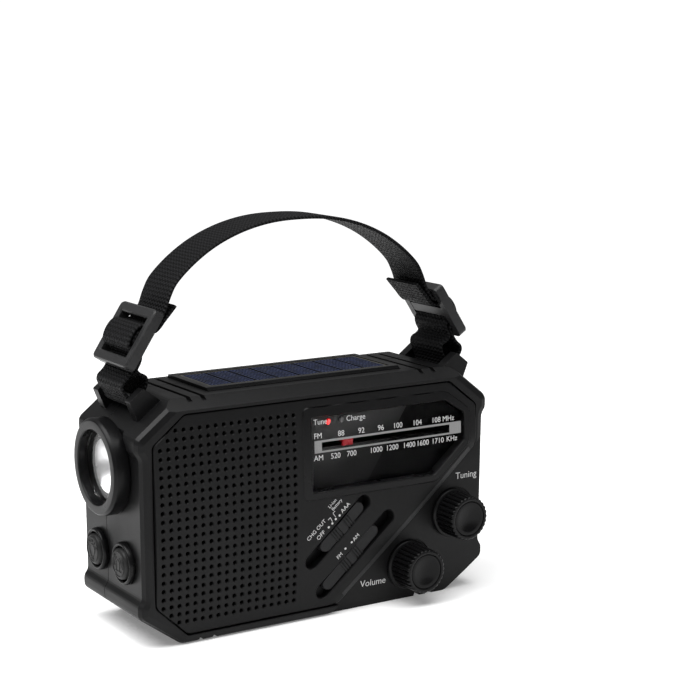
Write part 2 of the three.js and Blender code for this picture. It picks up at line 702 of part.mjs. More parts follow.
function buckle(side) {
  const { half, halfWidth, thickness, rim } = BUCKLE;
  const block = ([a, b], [low, high], round) =>
    outline([[a, low], [b, low], [b, high], [a, high]].map((p) => onBuckle(...p)), round);
  const slab = alongY(block([-half, half], [-thickness, rim], 0.6), -halfWidth, halfWidth);
  const sunk = alongY(block([-8, 8], [0, 9], 0), -10.5, 10.5);
  const slot = (a, b) => alongY(block([a, b], [-9, 9], 0), -10.5, 10.5);
  const made = cut(slab, sunk, slot(-8, -1.6), slot(1.6, 8));
  return side < 0 ? made : made.mirror([1, 0, 0]);
}

// Half of the strap's line in the x-z plane: free tail, round the left bar, up to the top of the arch.
function strapLine() {
  const pin = new THREE.Vector2(...lugPoint(-1, LUG.middle, LUG.bar));
  const loop = (angle, r) => {
    const turn = THREE.MathUtils.degToRad(angle);
    return new THREE.Vector2(pin.x + r * Math.cos(turn), pin.y + r * Math.sin(turn));
  };
  const under = -BUCKLE.thickness - 1;
  const inner = under - WEB.pitch;
  const tail = [[16, inner - 1], [9.6, inner], [5.2, inner + 0.9], [3.2, -1.6], [2.3, 0.75], [0, 1.1]];
  const tailDown = [[-2.3, 0.75], [-3.2, -1.6], [-5.2, inner + 0.9], [-9.6, inner]];
  const main = [[-12.6, under - 0.1], [-9.6, under], [-7, under + 0.4]];
  const hump = [[-5.1, -1.2], [-3.8, 1.8], [0, 2.75], [3.8, 1.8], [5.1, -1.2], [7, under + 0.4]];
  const arch = [[9.6, under], [12.6, under]];
  const place = (points) => points.map((p) => buckleVector(...p));
  return [
    ...place([...tail, ...tailDown]),
    new THREE.Vector2(-60.6, 90.8),
    loop(20, 2.5),
    loop(-50, 2.35),
    loop(-120, 2.35),
    loop(170, 2.5),
    new THREE.Vector2(-69.8, 89.2),
    ...place([...main, ...hump, ...arch]),
    new THREE.Vector2(-49.4, 121.4),
    new THREE.Vector2(-37.8, 131.2),
    new THREE.Vector2(-25.8, 137),
    new THREE.Vector2(-13, 140.2),
  ];
}

// A band of even thickness along a planar line, as one closed outline.
function ribbonOutline(line, thickness) {
  const side = (sign) =>
    line.map((p, i) => {
      const ahead = line[Math.min(i + 1, line.length - 1)];
      const behind = line[Math.max(i - 1, 0)];
      const run = ahead.clone().sub(behind).normalize();
      return [p.x - (sign * run.y * thickness) / 2, p.y + (sign * run.x * thickness) / 2];
    });
  return outline([...side(1), ...side(-1).reverse()]);
}

function strapWebbing() {
  const half = strapLine();
  const mirrored = half.map((p) => new THREE.Vector2(-p.x, p.y)).reverse();
  const whole = [...half, new THREE.Vector2(0, 141), ...mirrored];
  const inSpace = whole.map((p) => new THREE.Vector3(p.x, p.y, 0));
  const curve = new THREE.CatmullRomCurve3(inSpace, false, "centripetal");
  const points = curve.getPoints(whole.length * 2).map((p) => new THREE.Vector2(p.x, p.y));
  return alongY(ribbonOutline(points, WEB.thickness), -WEB.halfWidth, WEB.halfWidth);
}

// ---------------------------------------------------------------- crank and gear train

const involute = (angle) => Math.tan(angle) - angle;

// A spur gear's outline; `phase` is the direction of the middle of one tooth.
function gearOutline([x, z], teeth, phase) {
  const pitch = (GEAR.module * teeth) / 2;
  const base = pitch * Math.cos(PRESSURE_ANGLE);
  const tip = pitch + 0.85 * GEAR.module;
  const root = pitch - 1.15 * GEAR.module;
  const half = Math.PI / (2 * teeth) - GEAR.backlash / (4 * pitch);
  const flankAngle = (r) => involute(Math.acos(Math.min(1, base / Math.max(r, base))));
  const flank = (r) => half + involute(PRESSURE_ANGLE) - flankAngle(r);
  const radii = [root, pitch, tip];
  const points = [];
  for (let i = 0; i < teeth; i++) {
    const middle = phase + (i * 2 * Math.PI) / teeth;
    const at = (r, turn) => [x + r * Math.cos(middle + turn), z + r * Math.sin(middle + turn)];
    radii.forEach((r) => points.push(at(r, -flank(r))));
    [...radii].reverse().forEach((r) => points.push(at(r, flank(r))));
  }
  return outline(points);
}

function crankArm() {
  const { x, z, disc, inner, outer, halfWidth, low, shaft } = CRANK;
  const back = REAR_Y - 1.3;
  const beam = rectangle(x - halfWidth, x + halfWidth, low, z, 3);
  const hub = [[back, 0], [back, disc], [outer - 1, disc], [outer, disc - 1], [outer, 0]];
  const nailSlot = box(x - 3.2, x + 3.2, outer - 1.2, outer + 1, z + 1.6, z + 7.6);
  const side = GRIP.halfWidth + GAP;
  const clear = GRIP.thickness / 2 + GAP;
  const pocket = box(x - side, x + side, GRIP.y - clear, outer + 1, GRIP.low - clear, GRIP.high + 1);
  const pinHole = bar("x", [GRIP.y, GRIP.low], x - 7, x + 7, GRIP.pin + GAP, GRIP.pin + GAP, 12);
  const body = join(
    alongY(beam, inner, outer, { width: 0.8, depth: 0.8 }),
    turnedAlongY(hub, x, z, 36),
    bar("y", [x, z], 8.8, REAR_Y - 1, shaft),
  );
  return cut(body, nailSlot, pocket, pinHole);
}

function crankGrip() {
  const { halfWidth, low, high, y, thickness } = GRIP;
  const r = thickness / 2;
  const profile = new THREE.Shape();
  profile.absarc(y, low, r, Math.PI, 2 * Math.PI, false);
  profile.lineTo(y + r, high);
  profile.lineTo(y - r, high);
  profile.closePath();
  const paddle = alongX(profile, CRANK.x - halfWidth, CRANK.x + halfWidth);
  return join(paddle, bar("x", [y, low], CRANK.x - 6.7, CRANK.x + 6.7, GRIP.pin, GRIP.pin, 12));
}

function crankGear() {
  const at = [CRANK.x, CRANK.z];
  const wheel = alongY(gearOutline(at, GEAR.wheel, IDLER_ANGLE), 10, 13);
  return cut(wheel, bar("y", at, 0, 30, CRANK.shaft + GAP));
}

function idlerGear() {
  const halfTooth = Math.PI / GEAR.pinion;
  const pinion = alongY(gearOutline(IDLER, GEAR.pinion, IDLER_ANGLE + Math.PI + halfTooth), 9.6, 13.8);
  const wheel = alongY(gearOutline(IDLER, GEAR.wheel, GENERATOR_ANGLE), 13.6, 15.8);
  return cut(join(pinion, wheel), bar("y", IDLER, 0, 30, IDLER_POST + GAP));
}

function generatorPinion() {
  const halfTooth = Math.PI / GEAR.pinion;
  const wheel = alongY(gearOutline(GENERATOR, GEAR.pinion, GENERATOR_ANGLE + Math.PI + halfTooth), 13.4, 16);
  return join(wheel, bar("y", GENERATOR, 11.9, 14, 2, 2, 16));
}

function generator() {
  return join(bar("y", GENERATOR, 0, 11.1, 9.6, 9.6, 28), bar("y", GENERATOR, 11, 11.6, 3, 3, 16));
}

// ---------------------------------------------------------------- telescopic antenna

function antennaSwivel() {
  const { x, y, z } = ANTENNA;
  const post = bar("z", [x, y], 67.6, 77.5, 2.7, 2.7, 20);
  const tongue = box(x - 2.1, x + 2.1, y - 0.9, y + 0.9, 77, z);
  return join(post, tongue, bar("y", [x, z], y - 0.9, y + 0.9, 2.1, 2.1, 20));
}

function antennaTube() {
  const { x, y, z, radii, bores, end } = ANTENNA;
  const start = x + 3.4;
  const bore = bar("x", [y, z], start + 2.4, end + 5, bores[0], bores[0], 16);
  const tube = cut(bar("x", [y, z], start, end, radii[0], radii[0], 20), bore);
  const ears = [-1, 1].map((side) => {
    const [y0, y1] = side < 0 ? [y - 2.45, y - 1.2] : [y + 1.2, y + 2.45];
    return join(bar("y", [x, z], y0, y1, 2.45, 2.45, 20), box(x, start + 0.8, y0, y1, z - 2.1, z + 2.1));
  });
  return join(tube, ...ears);
}

function antennaSection() {
  const { x, y, z, radii, bores, end } = ANTENNA;
  const tube = bar("x", [y, z], x + 6.4, end + 0.9, radii[1], radii[1], 16);
  return cut(tube, bar("x", [y, z], x + 8.4, end + 5, bores[1], bores[1], 14));
}

function antennaRod() {
  const { x, y, z, radii, end } = ANTENNA;
  const rod = bar("x", [y, z], x + 9, end + 2, radii[2], radii[2], 14);
  const tip = ANTENNA_TIP;
  return join(rod, bar("x", [y, z], end + 1.2, tip.end, tip.radius, tip.radius - 0.5, 18));
}

function antennaScrew() {
  const at = [ANTENNA.x, ANTENNA_SCREW_Z];
  return join(bar("y", at, 17.9, 20.2, 3, 2.6, 20), bar("y", at, 16.8, 18.4, 1.2, 1.2, 12));
}

// ---------------------------------------------------------------- power and electronics

function batteryDoor() {
  const { left, right, low, high, inner, hinge } = DOOR;
  const outer = REAR_Y - 0.1;
  const middle = (inner + outer) / 2;
  const plate = alongY(rectangle(hinge - 1.5, right, low, high, 2), inner, outer);
  const edge = box(left - 5, hinge, inner - 1, outer + 1, low - 1, high + 1);
  const r = (outer - inner) / 2;
  const knuckle = bar("z", [hinge, middle], low + 1.2, high - 1.2, r, r, 20);
  const catchTab = box(right - 1, 67.6, inner + 0.2, outer - 0.4, 38, 46.8);
  return join(cut(plate, edge), knuckle, catchTab);
}

function aaaCell(x) {
  const body = bar("z", [x, AAA.y], AAA.low, AAA.high - 1, AAA.radius, AAA.radius, 24);
  return join(body, bar("z", [x, AAA.y], AAA.high - 1.2, AAA.high, 1.9, 1.9, 12));
}

// The link plates that join the cells in series, one above and one below them.
function contactPlate(z) {
  return box(AAA.columns[0] - 4.4, AAA.columns[2] + 4.4, 10.4, 20.4, z, z + 0.5);
}

function rechargeableCell() {
  return bar("x", [11, 12.4], -53, 12, 9.1, 9.1, 20);
}

function ferriteRod() {
  return bar("x", [1.5, 77.4], -44, 52, 4, 4, 16);
}

function circuitBoard() {
  const board = alongY(rectangle(-6, 66, 17, 70, 1), -3, -1.4);
  const holes = [[-3, 20], [63, 20], [-3, 67], [63, 67]].map((at) => bar("y", at, -5, 0, 1.3, 1.3, 8));
  return cut(board, ...holes);
}

function tuningCapacitor() {
  const [x, z] = KNOBS.tuning;
  const shaftHole = bar("y", [x, z], -10, -5, KNOB.shaft + GAP);
  return cut(box(x - 10, x + 10, -8.9, -3.3, z - 10, z + 10), shaftHole);
}

function volumePotentiometer() {
  const shaftHole = bar("y", KNOBS.volume, -17, -10, KNOB.shaft + GAP);
  return cut(bar("y", KNOBS.volume, -15.5, -3.3, 8, 8, 28), shaftHole);
}

function caseScrew(at) {
  const { core, head } = SCREW;
  const profile = [[17, 0], [17, core], [20.6, core + 0.1], [20.6, head], [22, head], [22, 0]];
  const driverSlot = box(at[0] - 1.4, at[0] + 1.4, 21.2, 23, at[1] - 0.3, at[1] + 0.3);
  return cut(join(turnedAlongY(profile, ...at, 14), bar("y", at, -10, 17.5, core, core, 10)), driverSlot);
}

// ---------------------------------------------------------------- materials and assembly

const finish = (color, roughness, metalness = 0) =>
  new THREE.MeshStandardMaterial({ color, roughness, metalness });
const MATERIALS = {
  case: finish(0x2a2a2b, 0.6),
  panel: finish(0x262627, 0.65),
  trim: finish(0x1c1c1d, 0.45),
  window: finish(0x060607, 0.08),
  scale: finish(0x0c0c0d, 0.5),
  pointer: finish(0x961e23, 0.4),
  web: finish(0x151515, 0.9),
  rubber: finish(0x202020, 0.8),
  solar: finish(0x141c38, 0.2),
  chrome: finish(0xd8d8da, 0.12, 1),
  steel: finish(0x9a9ca0, 0.35, 1),
  lens: finish(0xe8f0f4, 0.05),
  lamp: finish(0xf4e9b0, 0.3),
  red: finish(0xe02020, 0.3),
  clear: finish(0x9a9a98, 0.3),
  cone: finish(0x1a1a1a, 0.85),
  gear: finish(0xe9e4d6, 0.5),
  board: finish(0x1f5a34, 0.5),
  cell: finish(0x3a6fb0, 0.4),
  cord: finish(0xb9b4a4, 0.8),
  ferrite: finish(0x3c3a38, 0.7),
};

const radio = new THREE.Group();

function add(name, body, material) {
  const mesh = new THREE.Mesh(geometryOf(body), MATERIALS[material]);
  mesh.name = name;
  radio.add(mesh);
}

const whole = wholeShell();
add("front_shell", frontShell(whole), "case");
add("rear_shell", rearShell(whole), "case");
add("front_panel", frontPanel(), "panel");
add("dial_bezel", dialBezel(), "trim");
add("dial_window", dialWindow(), "window");
add("dial_scale", dialScale(), "scale");
add("dial_pointer", dialPointer(), "pointer");
add("tune_lamp", signalLamp(LAMPS.tune), "red");
add("charge_lamp", signalLamp(LAMPS.charge), "clear");
add("speaker_frame", speakerFrame(), "steel");
add("speaker_cone", speakerCone(), "cone");

add("tuning_knob", knob(KNOBS.tuning, -6), "trim");
add("tuning_drum", tuningDrum(), "gear");
add("dial_cord", dialCord(), "cord");
add("tuning_capacitor", tuningCapacitor(), "clear");
add("volume_knob", knob(KNOBS.volume, -11), "trim");
add("volume_potentiometer", volumePotentiometer(), "steel");
add("source_slider", slider(SOURCE), "trim");
add("source_switch", slideSwitch(SOURCE), "steel");
add("band_slider", slider(BAND), "trim");
add("band_switch", slideSwitch(BAND), "steel");

add("torch_bezel", torchBezel(), "trim");
add("torch_reflector", torchReflector(), "chrome");
add("torch_lens", torchLens(), "lens");
add("torch_led", torchLed(), "lamp");
add("torch_button_ring", buttonRing(BUTTONS.torch), "trim");
add("torch_button", buttonCap(BUTTONS.torch), "rubber");
add("sos_button_ring", buttonRing(BUTTONS.sos), "trim");
add("sos_button", buttonCap(BUTTONS.sos), "rubber");

add("solar_frame", solarFrame(), "trim");
add("solar_panel", solarPanel(), "solar");
add("strap_bar_left", strapBar(-1), "steel");
add("strap_bar_right", strapBar(1), "steel");
add("strap_webbing", strapWebbing(), "web");
add("buckle_left", buckle(-1), "trim");
add("buckle_right", buckle(1), "trim");

add("crank_arm", crankArm(), "trim");
add("crank_grip", crankGrip(), "trim");
add("crank_gear", crankGear(), "gear");
add("idler_gear", idlerGear(), "gear");
add("generator_pinion", generatorPinion(), "gear");
add("generator", generator(), "steel");

add("antenna_screw", antennaScrew(), "chrome");
add("antenna_swivel", antennaSwivel(), "chrome");
add("antenna_tube", antennaTube(), "chrome");
add("antenna_section", antennaSection(), "chrome");
add("antenna_rod", antennaRod(), "chrome");

add("battery_door", batteryDoor(), "case");
AAA.columns.forEach((x, i) => add(`aaa_cell_${i + 1}`, aaaCell(x), "cell"));
add("contact_plate_low", contactPlate(19), "steel");
add("contact_plate_high", contactPlate(65.1), "steel");
add("rechargeable_cell", rechargeableCell(), "cell");
add("ferrite_rod", ferriteRod(), "ferrite");
add("main_circuit_board", circuitBoard(), "board");
SCREWS.forEach((at, i) => add(`case_screw_${i + 1}`, caseScrew(at), "steel"));

export default radio;
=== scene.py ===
"""Looks of the crank and solar emergency radio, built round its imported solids. Lengths are written in mm."""

import math

import bmesh
import bpy
import numpy as np
from mathutils import Matrix, Vector
from mathutils.geometry import delaunay_2d_cdt


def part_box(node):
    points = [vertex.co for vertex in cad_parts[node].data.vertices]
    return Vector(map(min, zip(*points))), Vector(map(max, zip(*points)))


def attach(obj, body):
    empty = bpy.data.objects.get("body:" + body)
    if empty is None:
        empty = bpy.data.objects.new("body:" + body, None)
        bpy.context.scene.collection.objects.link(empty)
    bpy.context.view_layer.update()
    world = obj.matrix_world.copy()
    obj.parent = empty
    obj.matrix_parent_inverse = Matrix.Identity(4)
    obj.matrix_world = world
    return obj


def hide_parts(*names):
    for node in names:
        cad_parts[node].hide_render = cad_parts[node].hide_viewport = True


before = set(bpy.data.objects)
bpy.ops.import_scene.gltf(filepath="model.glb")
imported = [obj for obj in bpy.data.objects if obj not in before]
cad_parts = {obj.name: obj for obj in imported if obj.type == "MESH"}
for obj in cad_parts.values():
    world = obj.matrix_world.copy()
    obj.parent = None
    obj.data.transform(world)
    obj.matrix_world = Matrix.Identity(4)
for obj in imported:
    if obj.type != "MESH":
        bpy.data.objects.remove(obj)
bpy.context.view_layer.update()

MM = 0.001

# ---- sizes shared with the solids

SLOPE = math.radians(41.4)  # direction of the switch slots and of the long bevel
FRONT_Y = -23.85
FACE_MIDDLE_Z = 42.0
FACE_CROWN = 1.5
FACE_HALF_HEIGHT = 33.4
KNOB_WELL = 2.0
BEVEL_START = (7.5, 3.6)
BEVEL_WIDTH = 3.0
BEVEL_DROP = 0.85
BEVEL_TOP = (3.4, 75.6)  # where the bevel's upper edge begins and ends along the slope
PANEL_LEFT, PANEL_RIGHT, PANEL_LOW, PANEL_HIGH = -66.2, 66.2, 3.4, 80.4
PANEL_BACK_Y = -20.95
BEZEL = [(-8, 45), (47.6, 44.8), (62.6, 57.4), (62.6, 69.2), (52.4, 76.6), (-8, 76.8)]
WINDOW = [(-4.7, 47.3), (46.8, 47.1), (60.6, 58.9), (60.6, 68), (52, 73.5), (-4.7, 73.5)]
TRACK_LOW, TRACK_HIGH = 61.6, 64.5  # edges of the pointer's slit
SCALE_REFLECTION_EDGE = ((20.1, 47.3), (36.9, 73.5))  # the slanted edge of the painted reflection across the scale, from low to high
SOURCE_SLOT = ((-4.8, 21.9), (16.4, 40.6))
BAND_SLOT = ((0.1, 9.9), (26.9, 33.6))
SLOT_RADIUS = 2.8
SLIDER_RADIUS = 2.45
HOLE_PITCH = 3.04
HOLE_RADIUS = 0.85
HOLE_COLUMNS, HOLE_ROWS = 18, 23
HOLE_FIRST_X, HOLE_TOP_Z = -63.6, 75.4
KNOB_RIBS = 28
WEB_HALF_WIDTH = 10.0
WEB_THICKNESS = 1.2
BUCKLE_LEAN = math.radians(56.3)
BACKDROP = 1.1  # strength of the white surroundings as the camera sees them
WORLD_LIGHT = 0.25  # their strength on the radio and the floor
FLOOR_RADIUS, FLOOR_SIDES = 0.7, 96  # metres


# ---- camera, lights and floor

def point_object(name, data, location, target):
    made = bpy.data.objects.new(name, data)
    bpy.context.scene.collection.objects.link(made)
    made.location = location
    made.rotation_euler = (Vector(target) - Vector(location)).to_track_quat("-Z", "Y").to_euler()
    return made


def direction(azimuth, elevation):
    """Unit vector towards a viewer at that azimuth and elevation in degrees."""
    a, e = math.radians(azimuth), math.radians(elevation)
    return Vector((math.sin(a) * math.cos(e), -math.cos(a) * math.cos(e), math.sin(e)))


def make_camera():
    data = bpy.data.cameras.new("camera")
    data.lens = 86.2
    data.sensor_width = 36
    data.shift_x = 0.0889
    data.shift_y = 0.1976
    target = Vector((0, 0, 42.5)) * MM
    camera = point_object("camera", data, target + direction(-31.10, 14.74) * 0.610, target)
    camera.rotation_euler.rotate_axis("Z", math.radians(-0.15))
    bpy.context.scene.camera = camera


def area_light(name, azimuth, elevation, distance, size, power):
    data = bpy.data.lights.new(name, "AREA")
    data.shape = "RECTANGLE"
    data.size, data.size_y = size
    data.energy = power
    aim = Vector((0, 0, 50)) * MM
    point_object(name, data, aim + direction(azimuth, elevation) * distance, aim)


def make_world():
    """A white backdrop that lights the scene more softly than it looks."""
    world = bpy.data.worlds.new("studio")
    bpy.context.scene.world = world
    world.use_nodes = True
    nodes, links = world.node_tree.nodes, world.node_tree.links
    nodes.clear()
    out = nodes.new("ShaderNodeOutputWorld")
    back = nodes.new("ShaderNodeBackground")
    back.inputs["Color"].default_value = (1, 1, 1, 1)
    rays = nodes.new("ShaderNodeLightPath")
    strength = nodes.new("ShaderNodeMapRange")
    strength.inputs["To Min"].default_value = WORLD_LIGHT
    strength.inputs["To Max"].default_value = BACKDROP
    links.new(rays.outputs["Is Camera Ray"], strength.inputs["Value"])
    links.new(strength.outputs[0], back.inputs["Strength"])
    links.new(back.outputs[0], out.inputs["Surface"])


def make_floor(material):
    """A wide flat disc under the radio."""
    mesh = bpy.data.meshes.new("studio_floor")
    rim = [(x, y, 0) for x, y in circle(0, 0, FLOOR_RADIUS, FLOOR_SIDES)]
    mesh.from_pydata(rim, [], [tuple(range(FLOOR_SIDES))])
    mesh.materials.append(material)
    floor = bpy.data.objects.new("studio_floor", mesh)
    bpy.context.scene.collection.objects.link(floor)


make_camera()

# ---- materials

class Shader:
    """A node material built round one Principled BSDF."""

    def __init__(self, name, color, roughness, **sockets):
        self.material = bpy.data.materials.new(name)
        self.material.use_nodes = True
        self.tree = self.material.node_tree
        self.bsdf = self.tree.nodes["Principled BSDF"]
        self.color = (*color, 1.0)
        self.bsdf.inputs["Base Color"].default_value = self.color
        self.bsdf.inputs["Roughness"].default_value = roughness
        for socket, value in sockets.items():
            self.bsdf.inputs[socket.replace("_", " ")].default_value = value
        coordinates = self.tree.nodes.new("ShaderNodeTexCoord")
        self.place = coordinates.outputs["Object"]
        self.counts = coordinates.outputs["UV"]
        self.height = None

    def node(self, kind, **settings):
        made = self.tree.nodes.new(kind)
        for key, value in settings.items():
            if key in made.inputs:
                made.inputs[key].default_value = value
            else:
                setattr(made, key, value)
        return made

    def link(self, a, b):
        self.tree.links.new(a, b)

    def math(self, operation, *values):
        """A Math node on numbers and other nodes' outputs."""
        made = self.node("ShaderNodeMath", operation=operation)
        for socket, value in zip(made.inputs, values):
            if isinstance(value, float):
                socket.default_value = value
            else:
                self.link(value, socket)
        return made.outputs[0]

    def noise(self, scale, detail=3.0, stretch=None):
        made = self.node("ShaderNodeTexNoise", Scale=scale, Detail=detail)
        source = self.place
        if stretch:
            mapping = self.node("ShaderNodeMapping")
            mapping.inputs["Scale"].default_value = stretch
            self.link(source, mapping.inputs["Vector"])
            source = mapping.outputs[0]
        self.link(source, made.inputs["Vector"])
        return made.outputs["Fac"]

    def spread(self, value, low, high):
        """value from about 0.3 to 0.7 spread over low to high."""
        made = self.node("ShaderNodeMapRange")
        made.inputs["From Min"].default_value = 0.3
        made.inputs["From Max"].default_value = 0.7
        made.inputs["To Min"].default_value = low
        made.inputs["To Max"].default_value = high
        self.link(value, made.inputs["Value"])
        return made.outputs[0]

    def vary_roughness(self, value, low, high):
        self.link(self.spread(value, low, high), self.bsdf.inputs["Roughness"])

    def vary_color(self, value, other):
        self.mix_color(self.spread(value, 0, 1), other)

    def mix_color(self, share, other):
        mix = self.node("ShaderNodeMix", data_type="RGBA")
        self.link(share, mix.inputs["Factor"])
        mix.inputs[6].default_value = self.color
        mix.inputs[7].default_value = (*other, 1.0)
        self.link(mix.outputs[2], self.bsdf.inputs["Base Color"])

    def bump(self, value, depth_mm, strength=1.0):
        """Raises the surface by value times depth_mm, on top of earlier bumps."""
        made = self.node("ShaderNodeBump", Strength=strength, Distance=depth_mm * MM)
        self.link(value, made.inputs["Height"])
        if self.height is not None:
            self.link(self.height, made.inputs["Normal"])
        self.height = made.outputs[0]
        self.link(self.height, self.bsdf.inputs["Normal"])

    def round_edges(self, radius_mm):
        made = self.node("ShaderNodeBevel", samples=4)
        made.inputs["Radius"].default_value = radius_mm * MM
        self.height = made.outputs[0]
        self.link(self.height, self.bsdf.inputs["Normal"])

    def mixed_with_clear(self):
        """The node that mixes the surface with a fully clear one."""
        mix = self.node("ShaderNodeMixShader")
        self.link(self.bsdf.outputs[0], mix.inputs[1])
        self.link(self.node("ShaderNodeBsdfTransparent").outputs[0], mix.inputs[2])
        self.link(mix.outputs[0], self.tree.nodes["Material Output"].inputs["Surface"])
        return mix


def grey(level, blue=None):
    return (level, level, blue or level)


def scaled(color, share):
    return tuple(c * share for c in color)


def finish(name, color, rough, grain, gloss, tone=None, edge=0.0, **sockets):
    """A surface whose relief, roughness and colour drift, with its edges rounded by edge mm in the shading.

    grain is (noise scale, detail, depth in mm, optional stretch) of the relief, gloss is (noise scale,
    detail, lowest, highest) of the roughness, and tone is (noise scale, detail, share of the colour).
    """
    made = Shader(name, color, rough, **sockets)
    if edge:
        made.round_edges(edge)
    scale, detail, depth, *stretch = grain
    made.bump(made.noise(scale, detail, *stretch), depth)
    made.vary_roughness(made.noise(*gloss[:2]), *gloss[2:])
    if tone:
        made.vary_color(made.noise(*tone[:2]), scaled(color, tone[2]))
    return made.material


def moulded_plastic(name, color, rough, grain, specular, edge=0.25):
    """Textured moulding: fine spark-eroded grain, slow changes in gloss, and softly broken edges."""
    return finish(name, color, rough, (2600, 2.0, grain), (55, 4.0, rough - 0.05, rough + 0.06),
                  (900, 2.0, 1.25), edge, Specular_IOR_Level=specular)


def polished_plastic(name, color, rough, specular=0.5):
    return finish(name, color, rough, (60, 2.0, 0.01), (120, 4.0, rough * 0.8, rough * 1.3),
                  edge=0.15, Specular_IOR_Level=specular)


def polished_metal(name, color, rough):
    return finish(name, color, rough, (3000, 2.0, 0.002, (0.05, 1, 1)), (240, 5.0, rough * 0.7, rough * 1.5),
                  Metallic=1.0)


def plated_steel(name, color, rough):
    return finish(name, color, rough, (1800, 3.0, 0.01, (1, 0.2, 1)), (700, 5.0, rough * 0.7, rough * 1.4),
                  (90, 3.0, 0.8), 0.12, Metallic=1.0)


def soft_rubber(name, color):
    return finish(name, color, 0.5, (3200, 2.0, 0.006), (300, 3.0, 0.42, 0.58), edge=0.3, Specular_IOR_Level=0.25)


def plain_moulding(name, color, rough, specular=0.5):
    """Plain parts: fine mottling and a light grain."""
    return finish(name, color, rough, (1600, 3.0, 0.02), (400, 3.0, rough * 0.85, min(1.0, rough * 1.15)),
                  (300, 3.0, 0.8), 0.15, Specular_IOR_Level=specular)


def woven_nylon(name, color):
    """Plain-woven tape: the UV map counts cross ribs along it and warp columns across it."""
    made = Shader(name, color, 0.62, Specular_IOR_Level=0.1)
    parts = made.node("ShaderNodeSeparateXYZ")
    made.link(made.counts, parts.inputs[0])
    odd = made.math("MODULO", made.math("FLOOR", parts.outputs["Y"]), 2.0)
    ribs = made.math("ADD", parts.outputs["X"], made.math("MULTIPLY", odd, 0.28))
    wave = made.math("COSINE", made.math("MULTIPLY", ribs, 2 * math.pi))
    height = made.node("ShaderNodeMapRange")
    height.inputs["From Min"].default_value = -1.0
    made.link(wave, height.inputs["Value"])
    made.bump(height.outputs[0], 0.3)
    made.bump(made.noise(5200, 2.0, stretch=(1, 0.35, 1)), 0.03)
    made.vary_roughness(made.noise(900, 3.0), 0.52, 0.74)
    # colour follows the weave's height: painted shade in the hollows, lighter on the raised ribs
    made.vary_color(height.outputs[0], scaled(color, 7.5))
    return made.material


def clear_plastic(name, tint, ior, rough=0.01):
    """Clear moulding that lets the lights through to what lies behind it."""
    made = Shader(name, tint, rough, Transmission_Weight=1.0, IOR=ior)
    made.vary_roughness(made.noise(200, 3.0), rough * 0.6, rough * 1.6)
    rays = made.node("ShaderNodeLightPath")
    made.link(rays.outputs["Is Shadow Ray"], made.mixed_with_clear().inputs["Fac"])
    return made.material


def printed_ink(name, color):
    made = Shader(name, color, 0.5, Specular_IOR_Level=0.3)
    made.vary_roughness(made.noise(1500, 3.0), 0.42, 0.6)
    made.vary_color(made.noise(2500, 3.0), scaled(color, 0.86))
    return made.material


def glowing_lamp(name, color, strength):
    made = Shader(name, color, 0.2, Emission_Strength=strength, Coat_Weight=1.0)
    made.bsdf.inputs["Emission Color"].default_value = (*color, 1.0)
    made.vary_color(made.noise(1200, 2.0), tuple(min(1.0, c * 1.3) for c in color))
    return made.material


def silicon_cell(name):
    """Dark blue silicon with faint crystal patches."""
    made = Shader(name, (0.013, 0.019, 0.048), 0.35, Specular_IOR_Level=0.06)
    patches = made.node("ShaderNodeTexVoronoi", Scale=260.0)
    made.link(made.place, patches.inputs["Vector"])
    made.vary_color(patches.outputs["Distance"], (0.019, 0.028, 0.078))
    made.vary_roughness(made.noise(300, 3.0), 0.24, 0.36)
    return made.material


def split_scale(name, dark, light):
    """Black scale with a painted reflection: a grey field, fading downwards, left of a slanted line."""
    made = Shader(name, dark, 0.5, Specular_IOR_Level=0.05)
    made.vary_roughness(made.noise(200, 3.0), 0.45, 0.55)
    parts = made.node("ShaderNodeSeparateXYZ")
    made.link(made.place, parts.inputs[0])
    (x_low, z_low), (x_high, z_high) = SCALE_REFLECTION_EDGE
    run = (x_high - x_low) / (z_high - z_low)
    line = made.math("MULTIPLY_ADD", parts.outputs["Z"], run, (x_low - z_low * run) * MM)
    left_of = made.math("LESS_THAN", parts.outputs["X"], line)
    fade = made.node("ShaderNodeMapRange", interpolation_type="SMOOTHSTEP")
    ends = {"From Min": z_low * MM, "From Max": z_high * MM, "To Min": 0.12, "To Max": 1.0}
    for socket, value in ends.items():
        fade.inputs[socket].default_value = value
    sideways = made.math("MULTIPLY", parts.outputs["X"], 0.6 / MM / x_high)
    drop = made.math("MULTIPLY", sideways, (z_high - z_low) * MM)
    made.link(made.math("SUBTRACT", parts.outputs["Z"], drop), fade.inputs["Value"])
    # the grey mixed in left of the line is a painted reflection
    made.mix_color(made.math("MULTIPLY", left_of, fade.outputs[0]), light)
    return made.material


def wrapped_cell(name, color):
    made = Shader(name, color, 0.28, Coat_Weight=0.6, Coat_Roughness=0.1)
    made.bump(made.noise(160, 3.0), 0.05)
    made.vary_color(made.noise(70, 2.0), scaled(color, 0.7))
    return made.material


def studio_paper(name):
    made = Shader(name, (0.85, 0.85, 0.85), 0.9, Specular_IOR_Level=0.0, Emission_Strength=0.2)
    made.bsdf.inputs["Emission Color"].default_value = (1, 1, 1, 1)
    made.vary_roughness(made.noise(12, 2.0), 0.86, 0.94)
    return made.material


